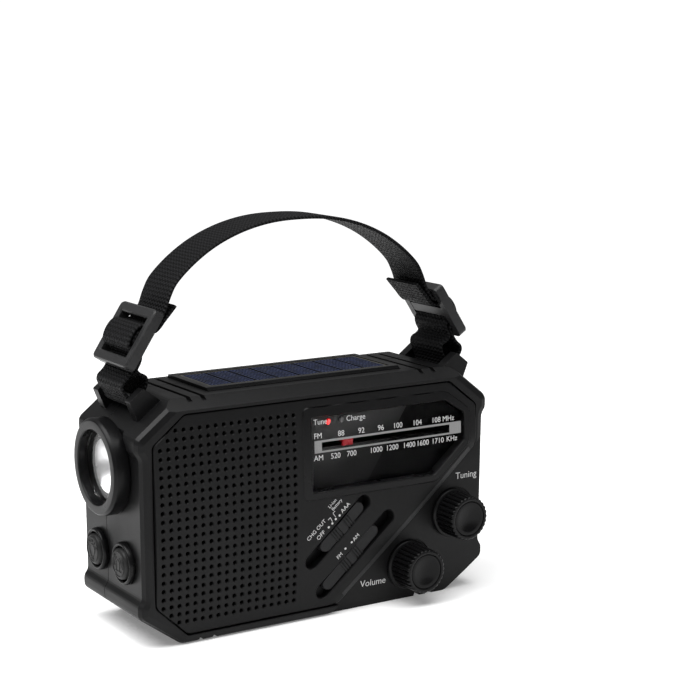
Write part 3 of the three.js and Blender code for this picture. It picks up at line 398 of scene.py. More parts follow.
SHELL = moulded_plastic("case_plastic", grey(0.0042, 0.0044), 0.4, grain=0.006, specular=0.145)
FACE = moulded_plastic("panel_plastic", grey(0.0042, 0.0044), 0.45, grain=0.006, specular=0.14)
# lighter grey for the strip on the long bevel: a painted reflection of the bright floor
BEVEL_REFLECTION_PAINT = moulded_plastic("bevel_painted_reflection", grey(0.021, 0.0215), 0.45, grain=0.004, specular=0.14)
DOOR = moulded_plastic("door_plastic", grey(0.0042, 0.0044), 0.42, grain=0.006, specular=0.17)
TRIM = moulded_plastic("satin_trim", grey(0.0034, 0.0036), 0.3, grain=0.003, specular=0.14, edge=0.2)
BUCKLE = moulded_plastic("buckle_plastic", grey(0.017, 0.0175), 0.36, grain=0.004, specular=0.2)
SLIDER = moulded_plastic("slider_plastic", grey(0.009, 0.0095), 0.36, grain=0.003, specular=0.16, edge=0.12)
GLOSS_CAP = polished_plastic("knob_cap", grey(0.0012, 0.0014), 0.2, specular=0.13)
BORE_BLACK = plain_moulding("bore_black", grey(0.0012), 0.6, specular=0.05)
CLEAR_WINDOW = clear_plastic("window_plastic", grey(0.98), 1.0)
CLEAR_LENS = clear_plastic("lens_clear", grey(0.95), 1.2)
# the dial scale carries a painted reflection: a grey field left of a slanted line
SCALE_PAINTED_REFLECTION = split_scale("scale_black_painted_reflection", grey(0.0006, 0.0007), grey(0.05))
PRINT = printed_ink("print_grey", grey(0.6))
TRACK_PRINT = printed_ink("track_grey", grey(0.24))
POINTER_RED = polished_plastic("pointer_red", (0.22, 0.008, 0.012), 0.3, specular=0.2)
LAMP_RED = glowing_lamp("lamp_red", (0.85, 0.015, 0.015), 0.7)
LAMP_CLEAR = polished_plastic("lamp_clear", grey(0.09), 0.2)
LAMP_DOME = glowing_lamp("lamp_dome", (0.85, 0.75, 0.38), 0.25)
RUBBER = soft_rubber("button_rubber", grey(0.008))
WEBBING = woven_nylon("webbing", grey(0.0009, 0.001))
SILICON = silicon_cell("solar_silicon")
FINGERS = plain_moulding("solar_fingers", (0.0012, 0.0014, 0.003), 0.5, specular=0.02)
SOLAR_BORDER = plain_moulding("solar_border", (0.075, 0.072, 0.062), 0.5, specular=0.1)
MIRROR = polished_metal("mirror_coat", grey(0.8, 0.81), 0.32)
CHROME = polished_metal("antenna_chrome", grey(0.74, 0.76), 0.08)
STEEL = plated_steel("plated_steel", (0.42, 0.43, 0.45), 0.32)
BLACK_STEEL = plated_steel("blackened_steel", grey(0.035, 0.037), 0.4)
PAPER_CONE = plain_moulding("speaker_paper", grey(0.012), 0.8)
ACETAL = plain_moulding("gear_plastic", (0.70, 0.68, 0.60), 0.42)
CORD = plain_moulding("dial_cord_fibre", (0.42, 0.40, 0.33), 0.75)
COMPONENT = plain_moulding("component_plastic", grey(0.40, 0.37), 0.3)
CELL_WRAP = wrapped_cell("cell_wrap", (0.03, 0.09, 0.24))
FERRITE = plain_moulding("ferrite", (0.045, 0.042, 0.040), 0.6)
BOARD = plain_moulding("board_laminate", (0.012, 0.085, 0.035), 0.4)


# ---- mesh helpers

def piece(name, mesh, body, material, replaces=(), sharp=35):
    """Puts a mesh given in mm into the scene as a piece that rides on a body."""
    mesh.transform(Matrix.Scale(MM, 4))
    mesh.shade_smooth()
    mesh.set_sharp_from_angle(angle=math.radians(sharp))
    mesh.materials.append(material)
    made = bpy.data.objects.new(name, mesh)
    bpy.context.scene.collection.objects.link(made)
    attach(made, body)
    if replaces:
        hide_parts(*replaces)
    return made


def faced_out(mesh):
    """The mesh with points that coincide merged and its faces turned outwards."""
    bm = bmesh.new()
    bm.from_mesh(mesh)
    bmesh.ops.remove_doubles(bm, verts=bm.verts, dist=1e-4)
    bmesh.ops.recalc_face_normals(bm, faces=bm.faces)
    bm.to_mesh(mesh)
    bm.free()
    return mesh


def mesh_of(name, verts, faces):
    mesh = bpy.data.meshes.new(name)
    mesh.from_pydata([tuple(v) for v in verts], [], faces)
    return faced_out(mesh)


def joined(name, meshes):
    """Several meshes as one."""
    bm = bmesh.new()
    for mesh in meshes:
        bm.from_mesh(mesh)
        bpy.data.meshes.remove(mesh)
    made = bpy.data.meshes.new(name)
    bm.to_mesh(made)
    bm.free()
    return made


def extent(node):
    """A solid's lowest and highest corners in mm."""
    low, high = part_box(node)
    return low / MM, high / MM


def rounded(corners, radius, steps=5):
    """A closed loop with its corners eased by curves that start radius away, apart from those at height 0."""
    points = [Vector(p) for p in corners]
    out = []
    for i, corner in enumerate(points):
        if corner.y == 0:
            out.append(corner)
            continue
        before, after = points[i - 1], points[(i + 1) % len(points)]
        reach = min(radius, (before - corner).length / 2.2, (after - corner).length / 2.2)
        a = corner + (before - corner).normalized() * reach
        b = corner + (after - corner).normalized() * reach
        for k in range(steps + 1):
            t = k / steps
            out.append(a * (1 - t) ** 2 + corner * 2 * t * (1 - t) + b * t * t)
    return [tuple(p) for p in out]


def arc(radius, start, end, at=(0, 0), steps=20):
    """Points round at from one angle in degrees to another, both included."""
    turns = [math.radians(start + (end - start) * i / steps) for i in range(steps + 1)]
    return [(at[0] + radius * math.cos(t), at[1] + radius * math.sin(t)) for t in turns]


def circle(x, z, radius, sides):
    return arc(radius, 0, 360, (x, z), sides)[:-1]


def capsule(a, b, radius, sides=10):
    turn = math.degrees(math.atan2(b[1] - a[1], b[0] - a[0]))
    return arc(radius, turn + 90, turn + 270, a, sides) + arc(radius, turn - 90, turn + 90, b, sides)


def inside(points, loop):
    """Which of the points lie inside a closed loop."""
    x, z = points[:, 0], points[:, 1]
    found = np.zeros(len(points), bool)
    for (ax, az), (bx, bz) in zip(loop, loop[1:] + loop[:1]):
        if az == bz:
            continue
        crosses = (az > z) != (bz > z)
        found ^= crosses & (x < ax + (z - az) * (bx - ax) / (bz - az))
    return found


def resampled(loop, step):
    """The loop with long straight stretches split into equal parts."""
    out = []
    for a, b in zip(loop, loop[1:] + loop[:1]):
        parts = max(1, round(math.dist(a, b) / step))
        out += [(a[0] + (b[0] - a[0]) * k / parts, a[1] + (b[1] - a[1]) * k / parts) for k in range(parts)]
    return out


def plate(name, outer, holes, front, back, step=3.0, edge=0.35, clear_of=None, crease=()):
    """A plate with holes and an optional crease line. front(x, z) gives its front y, back its flat rear y."""
    loops = [resampled(outer, step)] + [resampled(h, step) for h in holes]
    verts = [Vector(p) for loop in loops for p in loop]
    edges, first = [], 0
    for loop in loops:
        edges += [(first + i, first + (i + 1) % len(loop)) for i in range(len(loop))]
        first += len(loop)
    verts += [Vector(p) for p in crease]
    edges += [(first + i, first + i + 1) for i in range(len(crease) - 1)]
    xs, zs = [p[0] for p in outer], [p[1] for p in outer]
    grid = [(x, z) for x in np.arange(min(xs) + step, max(xs), step)
            for z in np.arange(min(zs) + step, max(zs), step)]
    grid = np.array(grid).reshape(-1, 2)
    if len(grid):
        border = np.array(verts)
        near = np.min(np.linalg.norm(grid[:, None, :] - border[None, :, :], axis=2), axis=1)
        good = inside(grid, outer) & (near > step * 0.4)
        for hole in holes:
            good &= ~inside(grid, hole)
        if clear_of is not None:
            good &= ~clear_of(grid)
        verts += [Vector(p) for p in grid[good]]
    flat, _, faces, *_ = delaunay_2d_cdt(verts, edges, [], 0, 1e-5)
    flat = np.array([tuple(v) for v in flat])
    middles = np.array([flat[list(f)].mean(0) for f in faces])
    good = inside(middles, loops[0])
    for loop in loops[1:]:
        good &= ~inside(middles, loop)
    bm = bmesh.new()
    top = [bm.verts.new((x, front(x, z), z)) for x, z in flat]
    for face, wanted in zip(faces, good):
        if wanted:
            bm.faces.new([top[i] for i in face])
    bmesh.ops.delete(bm, geom=[v for v in bm.verts if not v.link_faces], context="VERTS")
    fronts = bm.verts[:]
    copied = bmesh.ops.duplicate(bm, geom=bm.verts[:] + bm.edges[:] + bm.faces[:])["vert_map"]
    add_rim(bm, {v: copied[v] for v in fronts}, back, edge)
    bmesh.ops.recalc_face_normals(bm, faces=bm.faces)
    mesh = bpy.data.meshes.new(name)
    bm.to_mesh(mesh)
    bm.free()
    return mesh


def add_rim(bm, rims, back, edge):
    """Moves the rear copy to the back plane and joins the two by a broken edge and a wall."""
    tops = set(rims)
    border = [e for e in bm.edges if len(e.link_faces) == 1 and e.verts[0] in tops and e.verts[1] in tops]
    away = {}
    for e in border:
        a, b = e.verts
        inner = e.link_faces[0].calc_center_median()
        run = b.co - a.co
        out = Vector((run.z, 0, -run.x)).normalized()
        if out.dot(inner - a.co) > 0:
            out = -out
        for v in (a, b):
            away.setdefault(v, []).append(out)
    ring = {}
    for v, outs in away.items():
        mean = sum(outs, Vector()) / len(outs)
        mean = mean / max(mean.length_squared, 0.3)
        ring[v] = bm.verts.new(v.co + mean * edge + Vector((0, edge, 0)))
    for v, w in rims.items():
        w.co.y = back
        if v in ring:
            w.co.x, w.co.z = ring[v].co.x, ring[v].co.z
    for e in border:
        a, b = e.verts
        bm.faces.new((a, b, ring[b], ring[a]))
        bm.faces.new((ring[a], ring[b], rims[b], rims[a]))


def lathe(name, profile, axis, at, sides=64):
    """Turns a closed loop of (along, radius) about the x, y or z axis through at."""
    verts, faces = [], []
    for i in range(sides):
        c, s = math.cos(2 * math.pi * i / sides), math.sin(2 * math.pi * i / sides)
        for along, r in profile:
            u, v = at[0] + r * c, at[1] + r * s
            verts.append({"x": (along, u, v), "y": (u, along, v), "z": (u, v, along)}[axis])
    n = len(profile)
    for i in range(sides):
        j = (i + 1) % sides
        for k in range(n):
            m = (k + 1) % n
            if profile[k][1] == 0 and profile[m][1] == 0:
                continue
            faces.append((i * n + k, j * n + k, j * n + m, i * n + m))
    return mesh_of(name, verts, faces)


# ---- front face

def face_y(z):
    return FRONT_Y - FACE_CROWN * (1 - ((z - FACE_MIDDLE_Z) / FACE_HALF_HEIGHT) ** 2)


def across_bevel(x, z):
    """How far up and to the left of the long bevel's lower edge a point lies."""
    return -(x - BEVEL_START[0]) * math.sin(SLOPE) + (z - BEVEL_START[1]) * math.cos(SLOPE)


def panel_front(x, z):
    """The panel's surface: a shallow arch that slants down into the knob corner across the bevel."""
    fall = min(1.0, max(0.0, 1 - across_bevel(x, z) / BEVEL_WIDTH))
    return face_y(z) + BEVEL_DROP * fall


def on_slope(along, across):
    x, z = BEVEL_START
    return (x + along * math.cos(SLOPE) - across * math.sin(SLOPE),
            z + along * math.sin(SLOPE) + across * math.cos(SLOPE))


def grille_holes():
    """Holes on a square grid whose left corners are cut off with the panel's."""
    found = []
    for column in range(HOLE_COLUMNS):
        margin = max(0, 2 - column)
        for row in range(margin, HOLE_ROWS - margin):
            found.append((HOLE_FIRST_X + column * HOLE_PITCH, HOLE_TOP_Z - row * HOLE_PITCH))
    return found


def panel_outline():
    x, z = BEVEL_START
    _, z_end = on_slope((PANEL_RIGHT - x) / math.cos(SLOPE), 0)
    corners = [(PANEL_LEFT, 15), (PANEL_LEFT + 12, PANEL_LOW), (x, z), (PANEL_RIGHT, z_end),
               (PANEL_RIGHT, PANEL_HIGH - 9.4), (PANEL_RIGHT - 12, PANEL_HIGH),
               (PANEL_LEFT + 12, PANEL_HIGH), (PANEL_LEFT, PANEL_HIGH - 9.6)]
    return rounded(corners, 1.6)


def shrunk(loop, by):
    """A convex outline drawn in by `by` along each edge's normal."""
    points = [Vector(p) for p in loop]
    middle = sum(points, Vector((0, 0))) / len(points)
    out = []
    for i, p in enumerate(points):
        run = (points[(i + 1) % len(points)] - points[i - 1]).normalized()
        normal = Vector((-run.y, run.x))
        if normal.dot(middle - p) < 0:
            normal = -normal
        out.append(tuple(p + normal * by))
    return out


def make_front_panel():
    holes = [circle(x, z, HOLE_RADIUS + 0.14, 14) for x, z in grille_holes()]
    openings = [rounded(grown(BEZEL, 0.3 + 0.3), 2.6), capsule(*SOURCE_SLOT, SLOT_RADIUS + 0.3),
                capsule(*BAND_SLOT, SLOT_RADIUS + 0.3)]
    top_of_bevel = [on_slope(s, BEVEL_WIDTH) for s in np.linspace(BEVEL_TOP[0], BEVEL_TOP[1], 36)]
    grille = np.array(grille_holes())

    def near_grille(points):
        return np.min(np.linalg.norm(points[:, None, :] - grille[None, :, :], axis=2), axis=1) < 1.6

    mesh = plate("front_panel_grille", shrunk(panel_outline(), 0.4), holes + openings, panel_front,
                 PANEL_BACK_Y, step=2.6, edge=0.3, clear_of=near_grille, crease=top_of_bevel)
    piece("front_panel_grille", mesh, "case", FACE, ["front_panel"], sharp=24)
    # a lighter strip along the long bevel: painted reflection of the bright floor
    strip = stroke(on_slope(BEVEL_TOP[0], 1.5), on_slope(BEVEL_TOP[1], 1.5), 2.0)
    printed("bevel_reflection_strip", [strip], panel_front, 0.06, 0.03, BEVEL_REFLECTION_PAINT)


def grown(corners, by):
    """Corners moved outwards from the dial's middle by `by` along each axis."""
    return [(x + math.copysign(by, x - 27), z + math.copysign(by, z - 61)) for x, z in corners]


def make_dial():
    bezel = plate("dial_frame", rounded(grown(BEZEL, -0.3), 2.4), [rounded(grown(WINDOW, 0.55), 0.9)],
                  lambda x, z: face_y(z) - 0.35, PANEL_BACK_Y, step=2.5, edge=0.4)
    piece("dial_frame", bezel, "case", TRIM, ["dial_bezel"], sharp=24)
    window = plate("window_pane", rounded(grown(WINDOW, -0.1), 0.7), [], window_seat, -23.5, edge=0.12)
    piece("window_pane", window, "case", CLEAR_WINDOW, ["dial_window"], sharp=24)


# ---- print

def text_mesh(words, size, x, z, turn=0.0, align="LEFT"):
    """Flat letters, with their left end or middle at (x, z), as points on the x-z plane."""
    data = bpy.data.curves.new("letters", "FONT")
    data.body = words
    data.size = size
    data.align_x = align
    data.resolution_u = 4
    made = bpy.data.objects.new("letters", data)
    bpy.context.scene.collection.objects.link(made)
    bpy.context.view_layer.update()
    mesh = bpy.data.meshes.new_from_object(made.evaluated_get(bpy.context.evaluated_depsgraph_get()))
    bpy.data.objects.remove(made)
    bpy.data.curves.remove(data)
    upright = Matrix.Rotation(-turn, 4, "Y") @ Matrix.Rotation(math.pi / 2, 4, "X")
    mesh.transform(Matrix.Translation((x, 0, z)) @ upright)
    return mesh


def flat_shape(loop):
    mesh = bpy.data.meshes.new("shape")
    mesh.from_pydata([(x, 0, z) for x, z in loop], [], [tuple(range(len(loop)))])
    return mesh


def stroke(a, b, width):
    """A straight printed line."""
    run = (Vector(b) - Vector(a)).normalized() * width / 2
    side = Vector((-run.y, run.x))
    a, b = Vector(a), Vector(b)
    return flat_shape([tuple(a - side), tuple(b - side), tuple(b + side), tuple(a + side)])


def laid_on(name, meshes, surface, lift, thickness):
    """Print joined into one thin closed skin that follows surface(x, z)."""
    mesh = joined(name, meshes)
    bm = bmesh.new()
    bm.from_mesh(mesh)
    for _ in range(2):
        long_edges = [e for e in bm.edges if e.calc_length() > 4]
        if long_edges:
            bmesh.ops.subdivide_edges(bm, edges=long_edges, cuts=3)
    bmesh.ops.triangulate(bm, faces=bm.faces)
    for v in bm.verts:
        v.co.y = surface(v.co.x, v.co.z) - lift
    bmesh.ops.recalc_face_normals(bm, faces=bm.faces)
    for f in bm.faces:
        if f.normal.y > 0:
            f.normal_flip()
    made = bmesh.ops.extrude_face_region(bm, geom=bm.faces[:])
    for v in made["geom"]:
        if isinstance(v, bmesh.types.BMVert):
            v.co.y -= thickness
    bmesh.ops.recalc_face_normals(bm, faces=bm.faces)
    bm.to_mesh(mesh)
    bm.free()
    return mesh


def printed(name, meshes, surface, lift, thickness, material):
    piece(name, laid_on(name, meshes, surface, lift, thickness), "case", material)


def window_seat(x, z):
    return face_y(z) + 0.35


def make_window_print():
    """Wave-band numbers and words, printed on the scale behind the window's outer face."""
    size, fm_z, am_z = 2.75, 66.0, 58.3
    words = [("Tune", -4.0, 71.0), ("Charge", 9.6, 70.9), ("FM", -4.0, 66.1), ("AM", -4.2, am_z),
             ("108 MHz", 46.2, fm_z)]
    centred = [("KHz", 55.2, 58.4)]
    centred += [(str(n), x, fm_z) for n, x in zip(range(88, 105, 4), (7.3, 15.8, 24.1, 31.4, 39.9))]
    khz = {520: 4.8, 700: 11.5, 1000: 21.9, 1200: 28.8, 1400: 36.2, 1600: 42.2, 1710: 48.9}
    centred += [(str(n), x, am_z) for n, x in khz.items()]
    letters = [text_mesh(text, size, x, z) for text, x, z in words]
    letters += [text_mesh(text, size, x, z, align="CENTER") for text, x, z in centred]
    printed("scale_numbers", letters, window_seat, 0.05, 0.02, PRINT)
    low, high = TRACK_LOW, TRACK_HIGH
    bars = [stroke((-3.8, z), (59.4, z), width) for z, width in ((high + 0.45, 0.75), (low - 0.35, 0.65))]
    bars += [stroke((x, low - 0.1), (x, high + 0.1), width) for x, width in ((-2.3, 3.0), (56.8, 5.2))]
    printed("scale_track", bars, window_seat, 0.04, 0.015, TRACK_PRINT)


def make_face_print():
    """Words and dots printed beside the switches and knobs."""
    dots = [flat_shape(circle(x, z, 0.42, 14)) for x, z in
            [(1.6, 33.7), (3.1, 34.9), (4.5, 36.3), (6.1, 37.4), (8.9, 24.6), (11.5, 26.6)]]
    words = [text_mesh("Tuning", 3.5, 58.3, 43.2), text_mesh("Volume", 3.6, 17.4, 7.7)]
    words += [text_mesh(*label, SLOPE) for label in (
        ("OFF", 2.2, -2.6, 29.4), ("AAA", 2.2, 7.3, 38.0), ("CHG OUT", 2.1, -6.7, 29.7),
        ("Li-ion", 1.75, 1.9, 40.5), ("Battery", 1.75, 3.3, 39.4), ("FM", 2.1, 6.0, 20.9),
        ("AM", 2.1, 12.6, 26.7))]
    bends = [[(3.1, 35.6), (2.2, 37.2), (1.3, 36.4)], [(4.5, 37.0), (3.3, 38.6), (4.2, 39.4)]]
    lines = [stroke(a, b, 0.2) for bend in bends for a, b in zip(bend, bend[1:])]

    def surface(x, z):
        return face_y(z) + (KNOB_WELL if across_bevel(x, z) < 0 else 0.0)

    printed("face_print", dots + words + lines, surface, 0.05, 0.02, PRINT)


def make_lamp(node, material):
    """A small slanted oval lamp behind the window."""
    low, high = extent(node)
    x, z = (low.x + high.x) / 2 + 0.2, (low.z + high.z) / 2
    lean = math.radians(-25)
    loop = []
    for t in np.linspace(0, 2 * math.pi, 28, endpoint=False):
        u, v = 0.55 * math.cos(t), 0.98 * math.sin(t)
        loop.append((x + u * math.cos(lean) - v * math.sin(lean),
                     z + u * math.sin(lean) + v * math.cos(lean)))
    lens = plate(node, loop, [], lambda x, z: low.y - 0.1, high.y, step=0.5, edge=0.1)
    piece(node + "_lens", lens, "case", material, [node])


# ---- knobs and sliders

def make_knob(node, body):
    """A ribbed knob on a round skirt, with a rim of rib ends and a dished glossy cap."""
    low, high = extent(node)
    x, z = (low.x + high.x) / 2, (low.z + high.z) / 2
    skirt = (high.x - low.x) / 2
    seat, tip = face_y(z) + KNOB_WELL, low.y
    profile = [(seat, 0, 0), (seat, skirt, 0), (seat - 0.9, skirt, 0), (seat - 1.25, skirt - 0.35, 0),
               (seat - 1.35, 7.6, 0), (seat - 1.4, 8.1, 0.5), (seat - 1.6, 8.35, 0.95), (seat - 4, 8.3, 0.95),
               (tip + 1.5, 8.2, 0.95), (tip + 0.75, 8.15, 0.8), (tip + 0.3, 8.0, 0.5),
               (tip + 0.05, 7.6, 0.12), (tip, 7.3, 0), (tip, 6.9, 0), (tip + 0.12, 6.6, 0), (tip + 1.4, 6.45, 0)]
    per_rib = 8
    sides = KNOB_RIBS * per_rib
    verts, faces = [], []
    for i in range(sides):
        turn = 2 * math.pi * i / sides
        wave = abs(math.cos(math.pi * i / per_rib)) ** 0.7
        for y, r, rib in profile:
            reach = r - rib * (1 - wave)
            verts.append((x + reach * math.cos(turn), y, z + reach * math.sin(turn)))
    n = len(profile)
    for i in range(sides):
        j = (i + 1) % sides
        faces += [(i * n + k, j * n + k, j * n + k + 1, i * n + k + 1) for k in range(1, n - 1)]
    rear = [i * n + 1 for i in range(sides)]
    faces.append(tuple(reversed(rear)))
    faces.append(tuple(i * n + n - 1 for i in range(sides)))
    grip = mesh_of(node + "_grip", verts, faces)
    piece(node + "_grip", grip, body, TRIM, [node], sharp=50)
    dish = ((1.15, 0), (1.14, 0.5), (1.06, 1.6), (0.8, 3.2), (0.42, 4.8), (0.2, 5.8), (0.3, 6.3),
            (1.35, 6.4), (1.35, 0))
    cap = lathe(node + "_cap", [(tip + depth, r) for depth, r in dish], "y", (x, z))
    piece(node + "_cap", cap, body, GLOSS_CAP, sharp=50)


def make_slider(node, body):
    """A flat slider with plain round ends, fine ridges and a raised thumb block."""
    low, high = extent(node)
    r = SLIDER_RADIUS
    a, b = Vector((low.x + r, low.z + r)), Vector((high.x - r, high.z - r))
    mid, run = (a + b) / 2, (b - a).normalized()
    side = Vector((-run.y, run.x))
    top = low.y
    ends = capsule(tuple(a), tuple(b), r - 0.25)
    base = plate(node, ends, [], lambda x, z: top, -21.2, step=2.0, edge=0.25)

    def bar(start, end, half, height, slant):
        """A raised block across the slider from start to end along it."""
        verts = []
        for s, rise in ((start, -0.3), (start + slant, height), (end - slant, height), (end, -0.3)):
            for t in (-half, half):
                p = mid + run * s + side * t
                verts.append((p.x, top - rise, p.y))
        faces = [(0, 1, 3, 2), (2, 3, 5, 4), (4, 5, 7, 6), (6, 7, 1, 0), (0, 2, 4, 6), (1, 7, 5, 3)]
        return mesh_of("bar", verts, faces)

    half = r - 0.12
    parts = [base, bar(-1.5, 1.5, half, 0.5, 0.2)]
    for s in (1.95, 3.0, 4.05):
        parts += [bar(s, s + 0.75, half, 0.45, 0.15), bar(-s - 0.75, -s, half, 0.45, 0.15)]
    piece(node + "_top", joined(node, parts), body, SLIDER, [node], sharp=30)


# ---- torch and buttons

def make_torch():
    low, high = extent("torch_bezel")
    at = tuple((low + high) / 2)[1:]
    front, flange = low.x, (high.z - low.z) / 2
    bezel = rounded([(front + 1.0, flange), (-70.7, flange), (-70.7, 13.9), (-64, 13.9), (-64, 12.9),
                     (front + 0.5, 12.9), (front, 13.2), (front, flange - 0.8)], 0.25, 4)
    piece("torch_ring", lathe("torch_ring", bezel, "x", at, 96), "case", TRIM, ["torch_bezel"])
    baffle = lathe("torch_baffle", [(-72.2, 9.4), (-72.2, 12.6), (-71.4, 12.6), (-71.4, 9.4)], "x", at, 96)
    piece("torch_baffle", baffle, "case", BORE_BLACK, sharp=50)
    bowl = [(-59.5 - (r / 12.5) ** 2 * 10.2, r) for r in np.linspace(3.0, 12.5, 16)]
    shell = [(x + 0.45, r + 0.1) for x, r in reversed(bowl)]
    piece("torch_mirror", lathe("torch_mirror", bowl + shell, "x", at, 96), "case", MIRROR,
          ["torch_reflector"], sharp=60)
    outer = [(-74.1 + 0.7 * (r / 12.5) ** 2, r) for r in np.linspace(0, 12.5, 12)]
    inner = [(x + 0.9, r) for x, r in reversed(outer)]
    piece("torch_glass", lathe("torch_glass", outer + inner, "x", at, 96), "case", CLEAR_LENS,
          ["torch_lens"], sharp=60)
    dome = [(-60.4 - 2.3 * math.cos(t), 2.45 * math.sin(t)) for t in np.linspace(0, math.pi / 2, 10)]
    piece("torch_emitter", lathe("torch_emitter", dome + [(-58.8, 2.45), (-58.8, 0)], "x", at, 48), "case",
          LAMP_DOME, ["torch_led"], sharp=60)


def ring_mesh(loop, at, depth, width, rise):
    """A raised line along a closed or open run of (y, z) points on a button's face."""
    verts, faces = [], []
    n = len(loop)
    for i, p in enumerate(loop):
        a, b = Vector(loop[max(i - 1, 0)]), Vector(loop[min(i + 1, n - 1)])
        run = (b - a).normalized()
        side = Vector((-run.y, run.x)) * width / 2
        for along, across in ((0.15, -1.2), (-rise, -0.6), (-rise, 0.6), (0.15, 1.2)):
            q = Vector(p) + side * across
            verts.append((depth + along, at[0] + q.x, at[1] + q.y))
    for i in range(n - 1):
        for k in range(4):
            m = (k + 1) % 4
            faces.append((i * 4 + k, i * 4 + m, (i + 1) * 4 + m, (i + 1) * 4 + k))
    faces += [(3, 2, 1, 0), tuple((n - 1) * 4 + k for k in range(4))]
    return mesh_of("line", verts, faces)


def torch_icon():
    """A bulb with rays."""
    lines = [arc(2.0, -50, 230), [(-1.29, -1.53), (-0.9, -2.6), (0.9, -2.6), (1.29, -1.53)],
             [(-0.8, -3.3), (0.8, -3.3)]]
    for turn in (20, 55, 90, 125, 160):
        c, s = math.cos(math.radians(turn)), math.sin(math.radians(turn))
        lines.append([(2.7 * c, 2.7 * s), (3.6 * c, 3.6 * s)])
    return lines


def alarm_icon():
    """A siren: a horn with sound arcs on both sides."""
    lines = [[(-1.2, -2.2), (-1.2, 0.4)], arc(1.2, 180, 0, (0, 0.4)), [(1.2, 0.4), (1.2, -2.2)],
             [(-2, -2.4), (2, -2.4)]]
    sounds = ((2.5, -25, 60), (2.5, 120, 205), (3.6, -20, 50), (3.6, 130, 200))
    return lines + [arc(*sound, (0, 0.2)) for sound in sounds]


def make_button(node, ring_node, body, icon):
    low, high = extent(ring_node)
    at = ((low.y + high.y) / 2, (low.z + high.z) / 2)
    r = (high.y - low.y) / 2
    ring = [(-65.6, 5.8), (-65.6, 6.4), (-70.7, 6.4), (-70.7, r)]
    ring += [(-71.3 - 1.3 * math.sin(t), (r + 6.0) / 2 + (r - 6.0) / 2 * math.cos(t))
             for t in np.linspace(0, math.pi, 12)]
    ring += [(-71.0, 5.8)]
    lip = lathe(ring_node, ring, "x", at, 64)
    piece(ring_node + "_lip", lip, "case", TRIM, [ring_node], sharp=50)
    front, cap = extent(node)[0].x, 5.45
    dome = [(front + 0.25 * (q / 4.6) ** 3, q) for q in np.linspace(0, 4.6, 8)]
    dome += [(front + 0.45, 5.1), (front + 0.9, cap), (-65, cap), (-65, 0)]
    parts = [lathe(node, dome, "x", at, 64)]
    parts += [ring_mesh([(-y, z) for y, z in line], at, front + 0.06, 0.42, 0.22) for line in icon]
    parts.append(ring_mesh(arc(4.35, 0, 360, steps=48), at, front + 0.12, 0.36, 0.2))
    piece(node + "_cap", joined(node, parts), body, RUBBER, [node], sharp=50)


# ---- solar panel

def make_solar():
    """Eight strip cells under resin, each with its own fine grid of printed conductors."""
    low, high = extent("solar_panel")
    top = high.z
    mesh = box_mesh(low.x, high.x, low.y, high.y, low.z, top, 0.15)
    piece("solar_cells", mesh, "case", SILICON, ["solar_panel"])
    border = 1.0
    x0, x1, y0, y1 = low.x + border, high.x - border, low.y + border, high.y - border
    rise = top + 0.04
    lines = []

    def line(ax, bx, ay, by, height=rise):
        lines.append(box_mesh(ax, bx, ay, by, top - 0.05, height, 0.0))

    cells, fingers, rows = 8, 6, 10
    pitch = (x1 - x0) / cells
    gap = 0.9
    for c in range(cells):
        a, b = x0 + c * pitch + gap / 2, x0 + (c + 1) * pitch - gap / 2
        for f in range(fingers + 1):
            x = a + (b - a) * f / fingers
            line(x - 0.12, x + 0.12, y0 + 0.3, y1 - 0.3)
        for row in range(rows + 1):
            y = y0 + 0.3 + (y1 - y0 - 0.6) * row / rows
            line(a, b, y - 0.12, y + 0.12)
        if c:
            line(a - gap + 0.2, a - 0.2, y0, y1)
    piece("solar_conductors", joined("solar_conductors", lines), "case", FINGERS)
    lines = []
    for ay, by in ((low.y + 0.1, y0 - 0.1), (y1 + 0.1, high.y - 0.1)):
        line(low.x + 0.1, high.x - 0.1, ay, by)
    for ax, bx in ((low.x + 0.1, x0 - 0.1), (x1 + 0.1, high.x - 0.1)):
        line(ax, bx, y0 - 0.05, y1 + 0.05)
    piece("solar_edge", joined("solar_edge", lines), "case", SOLAR_BORDER)


def box_mesh(x0, x1, y0, y1, z0, z1, edge):
    """A block with its edges broken by edge."""
    bm = bmesh.new()
    bmesh.ops.create_cube(bm, size=1)
    low, high = Vector((x0, y0, z0)), Vector((x1, y1, z1))
    for v in bm.verts:
        v.co = (low + high) / 2 + v.co * (high - low)
    if edge:
        bmesh.ops.bevel(bm, geom=bm.edges[:], offset=edge, segments=2, affect="EDGES")
    mesh = bpy.data.meshes.new("block")
    bm.to_mesh(mesh)
    bm.free()
    return mesh


# ---- strap and buckles

def strap_outline():
    """The strap's closed outline in x and z, read in order from its solid's end face."""
    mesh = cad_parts["strap_webbing"].data
    bm = bmesh.new()
    bm.from_mesh(mesh)
    bmesh.ops.remove_doubles(bm, verts=bm.verts, dist=1e-6)
    side = [f for f in bm.faces if f.normal.y > 0.99]
    caps = set(side)
    border = [e for e in bm.edges if sum(f in caps for f in e.link_faces) == 1]
    ahead = {}
    for e in border:
        for a, b in (e.verts, reversed(e.verts)):
            ahead.setdefault(a, []).append(b)
    start = border[0].verts[0]
    loop, last, here = [start], None, start
    while True:
        step = next(v for v in ahead[here] if v is not last)
        if step is start:
            break
        loop.append(step)
        last, here = here, step
    points = [(v.co.x / MM, v.co.z / MM) for v in loop]
    bm.free()
    return points


def strap_line():
    """The strap's middle line from one free end to the other."""
    loop = strap_outline()
    n = len(loop)
    half = n // 2
    best = None
    for shift in range(half):
        pairs = [(loop[(shift + i) % n], loop[(shift - 1 - i) % n]) for i in range(half)]
        spread = sum(abs(math.dist(a, b) - WEB_THICKNESS) for a, b in pairs)
        if best is None or spread < best[0]:
            best = (spread, pairs)
    return [Vector(((a[0] + b[0]) / 2, (a[1] + b[1]) / 2)) for a, b in best[1]]


